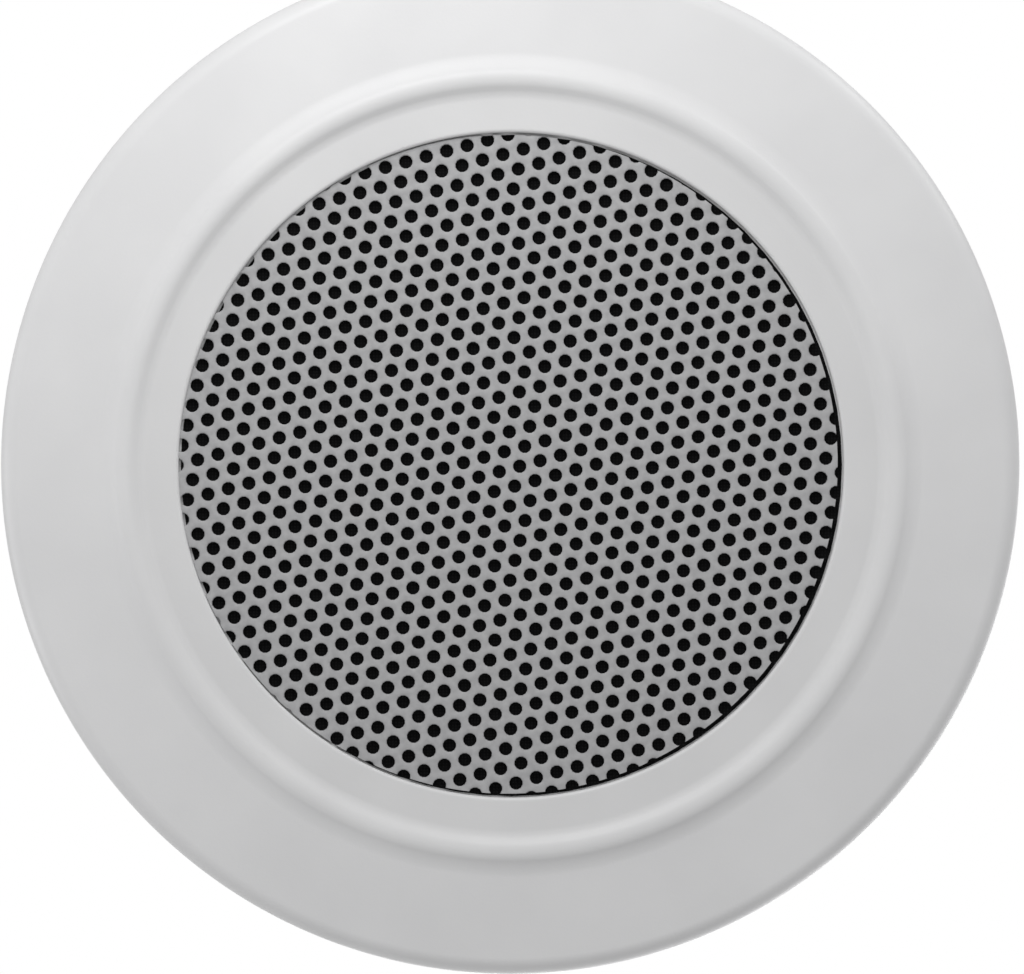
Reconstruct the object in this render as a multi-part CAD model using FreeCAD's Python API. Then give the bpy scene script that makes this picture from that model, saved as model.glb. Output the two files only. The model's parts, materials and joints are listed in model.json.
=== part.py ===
import FreeCAD, Part
import math
import os

# Flush-mount ceiling speaker, modelled in its fixed position: the face looks down.
# Z is the axis of the speaker. z = 0 is the ceiling's surface, where the flange seats.
# The room is below (negative z), the ceiling void is above (positive z). Millimetres.

# Bezel, one white moulding
OPENING_RADIUS = 47.15
LIP_ROUND = 0.5
RING_WIDTH = 5.55
BEAD_HALF_WIDTH = 2.3
BEAD_SLOPE = 36.0
BEAD_CROWN = 0.7
BEAD_FOOT = 0.22
FLANGE_WIDTH = 15.2
FLANGE_SLOPE = 4.5
EDGE_ROUND = 2.6
EDGE_STRAIGHT = 0.4
SEAT_RIM = 2.4
SKIN = 2.2
LEDGE_WIDTH = 1.6
THROAT_WALL = 2.2
SEAT_HEIGHT = 3.5
COLLAR_WALL = 2.5
COLLAR_HEIGHT = 12.0
COLLAR_LEAD = 0.5
BOSS_RADIUS = 2.9
RIB_WALL = 1.6
RIB_COUNT = 12

# Grille sheet and the cloth behind it
GRILLE_RECESS = 0.7
GRILLE_SHEET = 0.8
GRILLE_CLEARANCE = 0.5
GRILLE_SHIFT_X = -0.42
GRILLE_SHIFT_Y = -0.12
HOLE_PITCH = 6.0
HOLE_ACROSS = 4.0
HOLE_SIDES = 8
HOLE_MARGIN = 0.6
ROW_ANGLE = -15.9
CLOTH_THICKNESS = 0.3
CLOTH_CLEARANCE = 0.1

# Driver frame
DRIVER_INSET = 0.5
DRIVER_RIM = 6.45
DRIVER_CLEARANCE = 1.5
GASKET_THICKNESS = 2.0
BASKET_SHEET = 1.0
LANDING_WIDTH = 3.4
SHELF_HEIGHT = 13.8
SHELF_WIDTH = 5.5
WELL_DEPTH = 5.5
WELL_TAPER = 1.5
WINDOW_COUNT = 6
WINDOW_ROUND = 2.5
LEG_WIDTH = 8.0
WINDOW_MARGIN = 1.6

# Moving parts of the driver
SURROUND_SHEET = 0.5
ROLL_WIDTH = 6.0
GLUE_WIDTH = 2.4
CONE_SHEET = 0.5
CONE_BOW = 1.2
NECK_LENGTH = 0.7
CAP_RADIUS = 12.8
CAP_RISE = 4.0
CAP_SHEET = 0.4
FORMER_RADIUS = 10.1
FORMER_WALL = 0.3
FORMER_TAIL = 0.6
WINDING_WALL = 0.45
WINDING_LENGTH = 6.8
GLUE_GAP = 0.05
SPIDER_SHEET = 0.4
SPIDER_WIDTH = 16.6
SPIDER_WAVES = 4
SPIDER_RISE = 0.9
SPIDER_FLAT = 1.4
SPIDER_COLLAR = 1.1

# Magnet system
COIL_CLEARANCE = 0.35
TOP_PLATE_RADIUS = 28.0
TOP_PLATE_THICKNESS = 4.0
MAGNET_RADIUS = 31.0
MAGNET_BORE = 15.5
MAGNET_THICKNESS = 11.0
BACK_PLATE_RADIUS = 28.0
BACK_PLATE_THICKNESS = 4.0
POLE_STAND = 0.4
PLATE_CHAMFER = 0.8
RIVET_CIRCLE = 19.0
RIVET_RADIUS = 1.6
RIVET_HEAD = 2.8
RIVET_HEAD_HEIGHT = 0.9
RIVET_COUNT = 4
FIT_CLEARANCE = 0.05

# Screws through the driver's rim into the bezel
SCREW_COUNT = 6
SCREW_INSET = 3.4
SCREW_RADIUS = 1.45
SCREW_LENGTH = 7.5
SCREW_HEAD = 2.8
SCREW_HEAD_HEIGHT = 2.0
SCREW_HEAD_BREAK = 0.8
SCREW_HOLE = 1.8
BOSS_HOLE = 1.5
BOSS_FLOOR = 0.3

# Terminals on one leg of the basket
BOARD_WIDTH = 18.0
BOARD_LENGTH = 9.0
BOARD_THICKNESS = 1.5
TAB_SPACING = 12.0
TAB_WIDTH = 4.8
TAB_SHEET = 0.8
TAB_FOOT = 6.6
TAB_RISE = 6.5
TAB_BEND = 1.2
TAB_HOLE = 0.8
EYELET_RADIUS = 1.0
EYELET_HEAD = 1.7
EYELET_HEAD_HEIGHT = 0.5
LEAD_RADIUS = 0.5
LEAD_LANDING = 22.0
LEAD_SPREAD = 5.0
LEAD_RISE = 3.4
LEAD_FIRST_BEND = 0.3
LEAD_SECOND_BEND = 0.72
LEAD_BEND_RUN = 0.45

# Wire clips that grip the ceiling
BRACKET_SHEET = 1.2
BRACKET_HALF_ANGLE = 36.0
BRACKET_EDGE = 0.4
BRACKET_END_ROUND = 2.4
BRACKET_GAP = 0.4
EAR_HALF_SPAN = 10.8
EAR_MARGIN = 3.3
EAR_FOOT_CLEARANCE = 0.6
EAR_TIP_ROUND = 1.0
EAR_TOP_ROUND = 2.6
EAR_BACK_ROUND = 0.6
PIVOT_STAND = 5.5
WIRE_RADIUS = 0.8
COIL_RADIUS = 3.0
COIL_TURNS = 3
COIL_GROOVE = 0.35
COIL_END_CLEARANCE = 0.3
CLIP_CLEARANCE = 0.3
ARM_INSET = 2.5
ARM_BEND = 2.5
PIN_CLEARANCE = 0.1
PIN_HEAD = 3.0
PIN_HEAD_HEIGHT = 1.0
SLEEVE_WALL = 0.8
SLEEVE_CLEARANCE = 0.02
SLEEVE_INSET = 0.1

# Radii, worked outwards from the opening
throat_radius = OPENING_RADIUS - LEDGE_WIDTH
bead_radius = OPENING_RADIUS + RING_WIDTH + BEAD_HALF_WIDTH
flange_radius = bead_radius + BEAD_HALF_WIDTH + FLANGE_WIDTH
rim_inner = throat_radius + DRIVER_INSET
driver_radius = rim_inner + DRIVER_RIM
collar_inner = driver_radius + DRIVER_CLEARANCE
collar_radius = collar_inner + COLLAR_WALL
screw_circle = driver_radius - SCREW_INSET
grille_radius = OPENING_RADIUS - GRILLE_CLEARANCE

# Heights of the bezel and of what lies in its opening
flange_rise = math.tan(math.radians(FLANGE_SLOPE))
edge_height = EDGE_STRAIGHT + EDGE_ROUND * math.tan(math.radians(45 - FLANGE_SLOPE / 2))
face_z = -edge_height - FLANGE_WIDTH * flange_rise
skin_z = face_z + SKIN
grille_z = face_z + GRILLE_RECESS
cloth_z = grille_z + GRILLE_SHEET
ledge_z = cloth_z + CLOTH_THICKNESS

# Heights and radii of the driver, worked back from its seat
rim_z = SEAT_HEIGHT + GASKET_THICKNESS
rim_back_z = rim_z + BASKET_SHEET
shelf_z = rim_z + SHELF_HEIGHT
well_z = shelf_z + WELL_DEPTH
landing_inner = rim_inner - LANDING_WIDTH
roll_inner = landing_inner - ROLL_WIDTH
cone_inner = roll_inner - GLUE_WIDTH
former_outer = FORMER_RADIUS + FORMER_WALL
winding_outer = former_outer + WINDING_WALL
spider_inner = former_outer + GLUE_GAP
spider_outer = spider_inner + SPIDER_WIDTH
shelf_outer = spider_outer + SHELF_WIDTH
top_plate_z = well_z + BASKET_SHEET
magnet_z = top_plate_z + TOP_PLATE_THICKNESS
back_plate_z = magnet_z + MAGNET_THICKNESS
gap_radius = winding_outer + COIL_CLEARANCE
pole_radius = FORMER_RADIUS - COIL_CLEARANCE
winding_z = top_plate_z + TOP_PLATE_THICKNESS / 2 - WINDING_LENGTH / 2
neck_z = shelf_z - SPIDER_SHEET - GLUE_GAP
cone_apex_z = neck_z - NECK_LENGTH

# The clip's pivot, and the angle at which its arms rest on the collar's rim
bracket_z = rim_back_z + BRACKET_SHEET
bracket_inner = rim_inner + BRACKET_EDGE
coil_outer = COIL_RADIUS + WIRE_RADIUS
pivot_x = bracket_inner + BRACKET_SHEET + BRACKET_GAP + coil_outer
pivot_z = COLLAR_HEIGHT + PIVOT_STAND
arm_y = EAR_HALF_SPAN - COIL_END_CLEARANCE - (2 * COIL_TURNS - 1) * WIRE_RADIUS
rest_dx = collar_radius - pivot_x
rest_offset = COIL_RADIUS + WIRE_RADIUS + CLIP_CLEARANCE
rest_angle = math.atan2(-PIVOT_STAND, rest_dx) + math.asin(rest_offset / math.hypot(rest_dx, PIVOT_STAND))
tip_x = flange_radius - ARM_INSET
pin_radius = COIL_RADIUS - WIRE_RADIUS - PIN_CLEARANCE

AXIS = FreeCAD.Vector(0, 0, 1)
ORIGIN = FreeCAD.Vector(0, 0, 0)


def path_edges(corners, closed):
    """Straight edges through (r, z, rounding) corners in the XZ plane, with tangent arcs at rounded corners."""
    places = [FreeCAD.Vector(corner[0], 0, corner[1]) for corner in corners]
    count = len(places)
    spans = []
    for index, place in enumerate(places):
        rounding = corners[index][2] if len(corners[index]) > 2 else 0
        if rounding == 0:
            spans.append((place, None, place))
            continue
        towards = (places[index - 1] - place).normalize()
        onwards = (places[(index + 1) % count] - place).normalize()
        half = towards.getAngle(onwards) / 2
        middle = (towards + onwards).normalize() * (rounding / math.sin(half) - rounding)
        run = rounding / math.tan(half)
        spans.append((place + towards * run, place + middle, place + onwards * run))
    edges = []
    for index, (start, middle, end) in enumerate(spans):
        if middle:
            edges.append(Part.Arc(start, middle, end).toShape())
        following = spans[(index + 1) % count][0]
        if (closed or index < count - 1) and end.distanceToPoint(following) > 1e-6:
            edges.append(Part.LineSegment(end, following).toShape())
    return edges


def turned(corners):
    """A solid of revolution from a closed section."""
    face = Part.Face(Part.Wire(path_edges(corners, True)))
    return face.revolve(ORIGIN, AXIS, 360)


def turned_sheet(edges, thickness):
    """A solid of revolution from an open line of edges, thickened to one side."""
    face = Part.Wire(edges).makeOffset2D(thickness, 2, True, True)
    return face.revolve(ORIGIN, AXIS, 360)


def arc_edge(start, middle, end):
    """An arc in the XZ plane through three (r, z) places."""
    places = [FreeCAD.Vector(r, 0, z) for r, z in (start, middle, end)]
    return Part.Arc(*places).toShape()


def line_edge(start, end):
    """A straight edge in the XZ plane between two (r, z) places."""
    return Part.LineSegment(FreeCAD.Vector(start[0], 0, start[1]), FreeCAD.Vector(end[0], 0, end[1])).toShape()


def tube(outer, inner, low, high):
    """A ring or tube round the axis, or a disc where inner is 0."""
    solid = Part.makeCylinder(outer, high - low, FreeCAD.Vector(0, 0, low))
    if inner == 0:
        return solid
    return solid.cut(Part.makeCylinder(inner, high - low, FreeCAD.Vector(0, 0, low)))


def around(shape, angles):
    """Copies of a shape, turned about the axis to each angle."""
    copies = []
    for angle in angles:
        copy = shape.copy()
        copy.rotate(ORIGIN, AXIS, angle)
        copies.append(copy)
    return copies


def opposite(shape):
    """The same shape on the other side of the axis."""
    return around(shape, [180])[0]


def screw_angles():
    """Angles of the driver's screws, each on a leg of the basket."""
    return [(index + 0.5) * 360 / SCREW_COUNT for index in range(SCREW_COUNT)]


def holes_at(radius, circle, low, high, angles):
    """Round drills parallel to the axis, spread on a circle."""
    drill = Part.makeCylinder(radius, high - low, FreeCAD.Vector(circle, 0, low))
    return around(drill, angles)


def bezel():
    """Flange, bead, ring, grille recess, throat and collar in one turned section, then bosses and ribs."""
    side = BEAD_HALF_WIDTH / math.cos(math.radians(BEAD_SLOPE))
    crown = BEAD_CROWN * side * math.tan(math.radians(90 - BEAD_SLOPE))
    foot = BEAD_FOOT * side * math.tan(math.radians(90 - BEAD_SLOPE / 2))
    crest_z = face_z - BEAD_HALF_WIDTH * math.tan(math.radians(BEAD_SLOPE))
    relief_radius = flange_radius - SEAT_RIM
    relief_z = skin_z + (relief_radius - bead_radius - BEAD_HALF_WIDTH) * flange_rise
    root_z = skin_z + (collar_radius - bead_radius - BEAD_HALF_WIDTH) * flange_rise
    throat_outer = throat_radius + THROAT_WALL
    body = turned([
        (flange_radius, 0),
        (flange_radius, -edge_height, EDGE_ROUND),
        (bead_radius + BEAD_HALF_WIDTH, face_z, foot),
        (bead_radius, crest_z, crown),
        (bead_radius - BEAD_HALF_WIDTH, face_z, foot),
        (OPENING_RADIUS, face_z, LIP_ROUND),
        (OPENING_RADIUS, ledge_z),
        (throat_radius, ledge_z),
        (throat_radius, SEAT_HEIGHT),
        (throat_outer, SEAT_HEIGHT),
        (throat_outer, skin_z),
        (collar_inner, skin_z),
        (collar_inner, COLLAR_HEIGHT),
        (collar_radius, COLLAR_HEIGHT, COLLAR_LEAD),
        (collar_radius, root_z),
        (relief_radius, relief_z),
        (relief_radius, 0),
    ])
    boss = Part.makeCylinder(BOSS_RADIUS, SEAT_HEIGHT - face_z - SKIN / 2,
                             FreeCAD.Vector(screw_circle, 0, face_z + SKIN / 2))
    rib_start = throat_radius + THROAT_WALL / 2
    rib_length = collar_inner + COLLAR_WALL / 2 - rib_start
    rib = Part.makeBox(rib_length, RIB_WALL, SEAT_HEIGHT - face_z - SKIN / 2,
                       FreeCAD.Vector(rib_start, -RIB_WALL / 2, face_z + SKIN / 2))
    rib_angles = [(index + 0.5) * 360 / RIB_COUNT for index in range(RIB_COUNT)]
    body = body.fuse(around(boss, screw_angles()) + around(rib, rib_angles))
    body = body.cut(tube(OPENING_RADIUS, 0, face_z, ledge_z))
    body = body.cut(holes_at(BOSS_HOLE, screw_circle, skin_z + BOSS_FLOOR, SEAT_HEIGHT, screw_angles()))
    return body.removeSplitter()


def hole_centres():
    """Places of the grille's holes: staggered rows turned to the angle at which the sheet was cut."""
    reach = grille_radius - HOLE_MARGIN - HOLE_ACROSS / 2
    rows = int(reach / HOLE_PITCH) + 2
    turn = FreeCAD.Rotation(AXIS, ROW_ANGLE)
    places = []
    for row in range(-rows, rows + 1):
        for step in range(-2 * rows, 2 * rows + 1):
            along = (step + row / 2) * HOLE_PITCH
            across = row * HOLE_PITCH * math.sqrt(3) / 2
            place = turn.multVec(FreeCAD.Vector(along, across, 0))
            if place.Length <= reach:
                places.append(place)
    return places


def grille():
    """Perforated steel disc. Each hole drawn here stands for a cluster of four of the fine sheet's holes."""
    centre = FreeCAD.Vector(GRILLE_SHIFT_X, GRILLE_SHIFT_Y, grille_z)
    corner_radius = HOLE_ACROSS / 2 / math.cos(math.pi / HOLE_SIDES)
    wires = [Part.Wire(Part.Circle(centre, AXIS, grille_radius).toShape())]
    for place in hole_centres():
        corners = []
        for index in range(HOLE_SIDES + 1):
            angle = 2 * math.pi * index / HOLE_SIDES
            spoke = FreeCAD.Vector(math.cos(angle), math.sin(angle), 0)
            corners.append(centre + place + spoke * corner_radius)
        wires.append(Part.makePolygon(corners))
    face = Part.makeFace(Part.makeCompound(wires), "Part::FaceMakerBullseye")
    return face.extrude(FreeCAD.Vector(0, 0, GRILLE_SHEET))


def grille_cloth():
    """Black acoustic cloth that fills the opening, trapped between the sheet and the ledge."""
    return tube(OPENING_RADIUS - CLOTH_CLEARANCE, 0, cloth_z, ledge_z)


def driver_gasket():
    """Foam ring between the bezel's seat and the driver's rim, punched for the screws."""
    ring = tube(driver_radius, rim_inner, SEAT_HEIGHT, rim_z)
    return ring.cut(holes_at(SCREW_HOLE, screw_circle, SEAT_HEIGHT, rim_z, screw_angles()))


def window_cutter():
    """A tapering opening with round corners, drawn on a plane beyond the basket and driven in to the axis."""
    low = rim_z + BASKET_SHEET + WINDOW_MARGIN
    high = shelf_z - WINDOW_MARGIN
    half_angle = math.pi / WINDOW_COUNT
    slope = (landing_inner - shelf_outer) / SHELF_HEIGHT
    corners = []
    for z, side in ((low, -1), (low, 1), (high, 1), (high, -1)):
        radius = landing_inner - (z - rim_z) * slope
        half_width = radius * math.sin(half_angle) - LEG_WIDTH / 2
        corners.append((side * half_width, z, WINDOW_ROUND))
    face = Part.Face(Part.Wire(path_edges(corners, True)))
    face.rotate(ORIGIN, AXIS, 90)
    reach = FreeCAD.Vector(rim_inner - spider_inner, 0, 0)
    face.translate(FreeCAD.Vector(spider_inner, 0, 0))
    return face.extrude(reach)


def basket():
    """Pressed steel frame: rim with the surround's landing, legs between windows, spider shelf, magnet well."""
    line = path_edges([
        (driver_radius, rim_z),
        (landing_inner, rim_z),
        (shelf_outer, shelf_z),
        (spider_outer - SPIDER_FLAT, shelf_z),
        (spider_outer - SPIDER_FLAT - WELL_TAPER, well_z),
        (gap_radius, well_z),
    ], False)
    body = turned_sheet(line, -BASKET_SHEET)
    window_angles = [index * 360 / WINDOW_COUNT for index in range(WINDOW_COUNT)]
    body = body.cut(around(window_cutter(), window_angles))
    body = body.cut(holes_at(SCREW_HOLE, screw_circle, rim_z, rim_back_z, screw_angles()))
    rivet_hole = RIVET_RADIUS + FIT_CLEARANCE
    return body.cut(holes_at(rivet_hole, RIVET_CIRCLE, well_z, top_plate_z, rivet_angles()))


def surround():
    """Rubber half roll that bulges towards the grille, glued to the basket outside and to the cone inside."""
    middle = (landing_inner + roll_inner) / 2
    line = [
        line_edge((rim_inner - GLUE_GAP, rim_z), (landing_inner, rim_z)),
        arc_edge((landing_inner, rim_z), (middle, rim_z - ROLL_WIDTH / 2), (roll_inner, rim_z)),
        line_edge((roll_inner, rim_z), (cone_inner, rim_z)),
    ]
    return turned_sheet(line, SURROUND_SHEET)


def cone_curve():
    """The cone's front line from the rim to the neck, bowed so that it flares towards the rim."""
    rim = FreeCAD.Vector(cone_inner, 0, rim_z)
    neck = FreeCAD.Vector(former_outer + GLUE_GAP, 0, cone_apex_z)
    chord = neck - rim
    bow = FreeCAD.Vector(-chord.z, 0, chord.x).normalize() * CONE_BOW
    return Part.Arc(rim, (rim + neck) / 2 + bow, neck).toShape()


def cone_front_z(radius):
    """Height of the cone's front face at a radius."""
    curve = cone_curve().Curve
    drop = math.sqrt(curve.Radius ** 2 - (radius - curve.Center.x) ** 2)
    return curve.Center.z + math.copysign(drop, rim_z - curve.Center.z)


def cone():
    """Paper cone with a glue lip at the rim and a short neck on the voice coil former."""
    neck_radius = former_outer + GLUE_GAP
    line = [
        line_edge((roll_inner, rim_z), (cone_inner, rim_z)),
        cone_curve(),
        line_edge((neck_radius, cone_apex_z), (neck_radius, neck_z)),
    ]
    return turned_sheet(line, -CONE_SHEET)


def dust_cap():
    """Domed cap glued to the cone over the voice coil."""
    base_z = cone_front_z(CAP_RADIUS + CAP_SHEET) - GLUE_GAP
    sphere = (CAP_RADIUS ** 2 + CAP_RISE ** 2) / (2 * CAP_RISE)
    half = math.asin(CAP_RADIUS / sphere) / 2
    middle = (sphere * math.sin(half), base_z - CAP_RISE + sphere * (1 - math.cos(half)))
    line = [arc_edge((CAP_RADIUS, base_z), middle, (0, base_z - CAP_RISE))]
    return turned_sheet(line, CAP_SHEET)


def voice_coil_former():
    """Thin tube that carries the winding and holds the cone and the spider."""
    return tube(former_outer, FORMER_RADIUS, cone_apex_z, winding_z + WINDING_LENGTH + FORMER_TAIL)


def voice_coil_winding():
    """Copper wire wound on the former, longer than the gap it moves in."""
    return tube(winding_outer, former_outer, winding_z, winding_z + WINDING_LENGTH)


def spider():
    """Corrugated cloth disc that centres the voice coil, glued to the former and to the basket's shelf."""
    base_z = shelf_z - SPIDER_SHEET
    first = spider_inner + SPIDER_FLAT
    last = spider_outer - SPIDER_FLAT - SPIDER_SHEET
    half_wave = (last - first) / (2 * SPIDER_WAVES)
    corners = [(spider_inner, base_z + SPIDER_COLLAR), (spider_inner, base_z), (first, base_z)]
    for index in range(2 * SPIDER_WAVES):
        crest_z = base_z + (SPIDER_RISE if index % 2 else -SPIDER_RISE)
        corners.append((first + (index + 0.5) * half_wave, crest_z))
    corners += [(last, base_z), (shelf_outer - SPIDER_FLAT, base_z)]
    return turned_sheet(path_edges(corners, False), SPIDER_SHEET)


def chamfered_ring(outer, inner, low, high, chamfer):
    """A ring with its outer corners broken."""
    return turned([
        (inner, low),
        (outer - chamfer, low),
        (outer, low + chamfer),
        (outer, high - chamfer),
        (outer - chamfer, high),
        (inner, high),
    ])


def rivet_angles():
    """Angles of the rivets between basket and top plate."""
    return [(index + 0.5) * 360 / RIVET_COUNT for index in range(RIVET_COUNT)]


def top_plate():
    """Steel ring that forms the outside of the magnetic gap."""
    ring = chamfered_ring(TOP_PLATE_RADIUS, gap_radius, top_plate_z, magnet_z, PLATE_CHAMFER)
    rivet_hole = RIVET_RADIUS + FIT_CLEARANCE
    return ring.cut(holes_at(rivet_hole, RIVET_CIRCLE, top_plate_z, magnet_z, rivet_angles()))


def magnet():
    """Ferrite ring."""
    return chamfered_ring(MAGNET_RADIUS, MAGNET_BORE, magnet_z, back_plate_z, PLATE_CHAMFER)


def yoke():
    """Back plate and pole, forged in one piece."""
    back_z = back_plate_z + BACK_PLATE_THICKNESS
    tip_z = top_plate_z - POLE_STAND
    return turned([
        (0, tip_z),
        (pole_radius - PLATE_CHAMFER, tip_z),
        (pole_radius, tip_z + PLATE_CHAMFER),
        (pole_radius, back_plate_z),
        (BACK_PLATE_RADIUS, back_plate_z),
        (BACK_PLATE_RADIUS, back_z - PLATE_CHAMFER),
        (BACK_PLATE_RADIUS - PLATE_CHAMFER, back_z),
        (0, back_z),
    ])


def magnet_rivets():
    """Rivets that hold the basket's well to the top plate."""
    rivet = Part.makeCylinder(RIVET_HEAD, RIVET_HEAD_HEIGHT,
                              FreeCAD.Vector(RIVET_CIRCLE, 0, well_z - RIVET_HEAD_HEIGHT))
    shank = Part.makeCylinder(RIVET_RADIUS, magnet_z - well_z, FreeCAD.Vector(RIVET_CIRCLE, 0, well_z))
    return Part.makeCompound(around(rivet.fuse(shank), rivet_angles()))


def under_bracket(angle):
    """Whether the screw at this angle also holds a clip bracket."""
    return abs(math.cos(math.radians(angle))) > math.cos(math.radians(BRACKET_HALF_ANGLE))


def driver_screws():
    """Pan-head screws through the rim into the bosses; those near the clips also hold a bracket."""
    screws = []
    for angle in screw_angles():
        seat = bracket_z if under_bracket(angle) else rim_back_z
        head = Part.makeCylinder(SCREW_HEAD, SCREW_HEAD_HEIGHT, FreeCAD.Vector(screw_circle, 0, seat))
        top = max(head.Edges, key=lambda edge: edge.BoundBox.ZMin)
        head = head.makeChamfer(SCREW_HEAD_BREAK, [top])
        shank = Part.makeCylinder(SCREW_RADIUS, SCREW_LENGTH,
                                  FreeCAD.Vector(screw_circle, 0, seat - SCREW_LENGTH))
        screws += around(head.fuse(shank), [angle])
    return Part.makeCompound(screws)


def on_leg(shape):
    """Puts a shape that is drawn on a flat board against the outside of the basket's leg."""
    run = FreeCAD.Vector(0, landing_inner - shelf_outer, -SHELF_HEIGHT).normalize()
    outward = FreeCAD.Vector(1, 0, 0).cross(run)
    middle = FreeCAD.Vector(0, (landing_inner + shelf_outer) / 2, rim_z + SHELF_HEIGHT / 2)
    seat = middle + outward * (BASKET_SHEET + GLUE_GAP)
    placed = shape.copy()
    placed.Placement = FreeCAD.Placement(seat, FreeCAD.Rotation(FreeCAD.Vector(1, 0, 0), run, outward, "XYZ"))
    return placed


def eyelet_places():
    """Places of the eyelets across the terminal board."""
    return [-TAB_SPACING / 2, 0, TAB_SPACING / 2]


def terminal_board():
    """Fibre strip that carries the two tabs."""
    board = Part.makeBox(BOARD_WIDTH, BOARD_LENGTH, BOARD_THICKNESS,
                         FreeCAD.Vector(-BOARD_WIDTH / 2, -BOARD_LENGTH / 2, 0))
    upright = [edge for edge in board.Edges if edge.BoundBox.ZLength > BOARD_THICKNESS / 2]
    board = board.makeFillet(BOARD_THICKNESS, upright)
    for x in eyelet_places():
        hole = Part.makeCylinder(EYELET_RADIUS + FIT_CLEARANCE, BOARD_THICKNESS, FreeCAD.Vector(x, 0, 0))
        board = board.cut(hole)
    return on_leg(board)


def terminal_tab(x):
    """Bent brass tab: a foot under its rivet and a blade with a solder hole."""
    heel = -BOARD_LENGTH / 2 + TAB_SHEET
    line = path_edges([
        (heel + TAB_FOOT, BOARD_THICKNESS),
        (heel, BOARD_THICKNESS, TAB_BEND),
        (heel, BOARD_THICKNESS + TAB_RISE),
    ], False)
    face = Part.Wire(line).makeOffset2D(-TAB_SHEET, 2, True, True)
    tab = face.extrude(FreeCAD.Vector(0, TAB_WIDTH, 0))
    tab.rotate(ORIGIN, AXIS, 90)
    tab.translate(FreeCAD.Vector(x + TAB_WIDTH / 2, 0, 0))
    drill_z = BOARD_THICKNESS + TAB_RISE - TAB_WIDTH / 2
    tab = tab.cut(Part.makeCylinder(TAB_HOLE, BOARD_LENGTH, FreeCAD.Vector(x, -BOARD_LENGTH, drill_z),
                                    FreeCAD.Vector(0, 1, 0)))
    tab = tab.cut(Part.makeCylinder(EYELET_RADIUS + FIT_CLEARANCE, TAB_RISE, FreeCAD.Vector(x, 0, 0)))
    return on_leg(tab)


def terminal_rivets():
    """Eyelets: one through each tab and the board, and one that holds the board to the leg."""
    rivets = []
    for x in eyelet_places():
        seat = BOARD_THICKNESS + (TAB_SHEET if x else 0)
        shank = Part.makeCylinder(EYELET_RADIUS, seat, FreeCAD.Vector(x, 0, 0))
        head = Part.makeCylinder(EYELET_HEAD, EYELET_HEAD_HEIGHT, FreeCAD.Vector(x, 0, seat))
        rivets.append(on_leg(shank.fuse(head)))
    return Part.makeCompound(rivets)


def swept_wire(places, bends, radius):
    """A round wire along straight runs that are joined by tangent arcs."""
    edges = []
    start = places[0]
    for index in range(1, len(places) - 1):
        corner = places[index]
        towards = (places[index - 1] - corner).normalize()
        onwards = (places[index + 1] - corner).normalize()
        half = towards.getAngle(onwards) / 2
        run = bends[index - 1] / math.tan(half)
        sag = bends[index - 1] / math.sin(half) - bends[index - 1]
        middle = corner + (towards + onwards).normalize() * sag
        edges.append(Part.LineSegment(start, corner + towards * run).toShape())
        edges.append(Part.Arc(corner + towards * run, middle, corner + onwards * run).toShape())
        start = corner + onwards * run
    edges.append(Part.LineSegment(start, places[-1]).toShape())
    circle = Part.Wire(Part.Circle(places[0], places[1] - places[0], radius).toShape())
    return Part.Wire(edges).makePipeShell([circle], True, False)


def tinsel_lead(side):
    """Braided lead from under a tab, through the window beside the leg, to the back of the cone."""
    under = on_leg(Part.Vertex(side * TAB_SPACING / 2, 0, -LEAD_RADIUS)).Vertexes[0].Point
    landing = FreeCAD.Vector(side * LEAD_SPREAD, LEAD_LANDING, 0)
    landing.z = cone_front_z(math.hypot(landing.x, landing.y)) + 2 * CONE_SHEET + LEAD_RADIUS
    span = landing - under
    rise = FreeCAD.Vector(0, 0, LEAD_RISE)
    places = [under, under + span * LEAD_FIRST_BEND + rise, under + span * LEAD_SECOND_BEND + rise, landing]
    bends = []
    for index in (1, 2):
        towards = places[index - 1] - places[index]
        onwards = places[index + 1] - places[index]
        shorter = min(towards.Length, onwards.Length)
        bends.append(LEAD_BEND_RUN * shorter * math.tan(towards.getAngle(onwards) / 2))
    return swept_wire(places, bends, LEAD_RADIUS)


def ear_outline():
    """Side view of a bracket ear: narrow inside the collar, wider above it, rounded about the pin."""
    foot_x = math.sqrt((collar_inner - EAR_FOOT_CLEARANCE) ** 2 - (EAR_HALF_SPAN + BRACKET_SHEET) ** 2)
    neck_z = COLLAR_HEIGHT + EAR_FOOT_CLEARANCE
    tip = pivot_x + EAR_MARGIN
    top = pivot_z + EAR_MARGIN
    return [
        (bracket_inner, bracket_z),
        (foot_x, bracket_z),
        (foot_x, neck_z),
        (tip, neck_z + tip - foot_x, EAR_TIP_ROUND),
        (tip, top, EAR_TOP_ROUND),
        (bracket_inner, top, EAR_BACK_ROUND),
    ]


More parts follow.
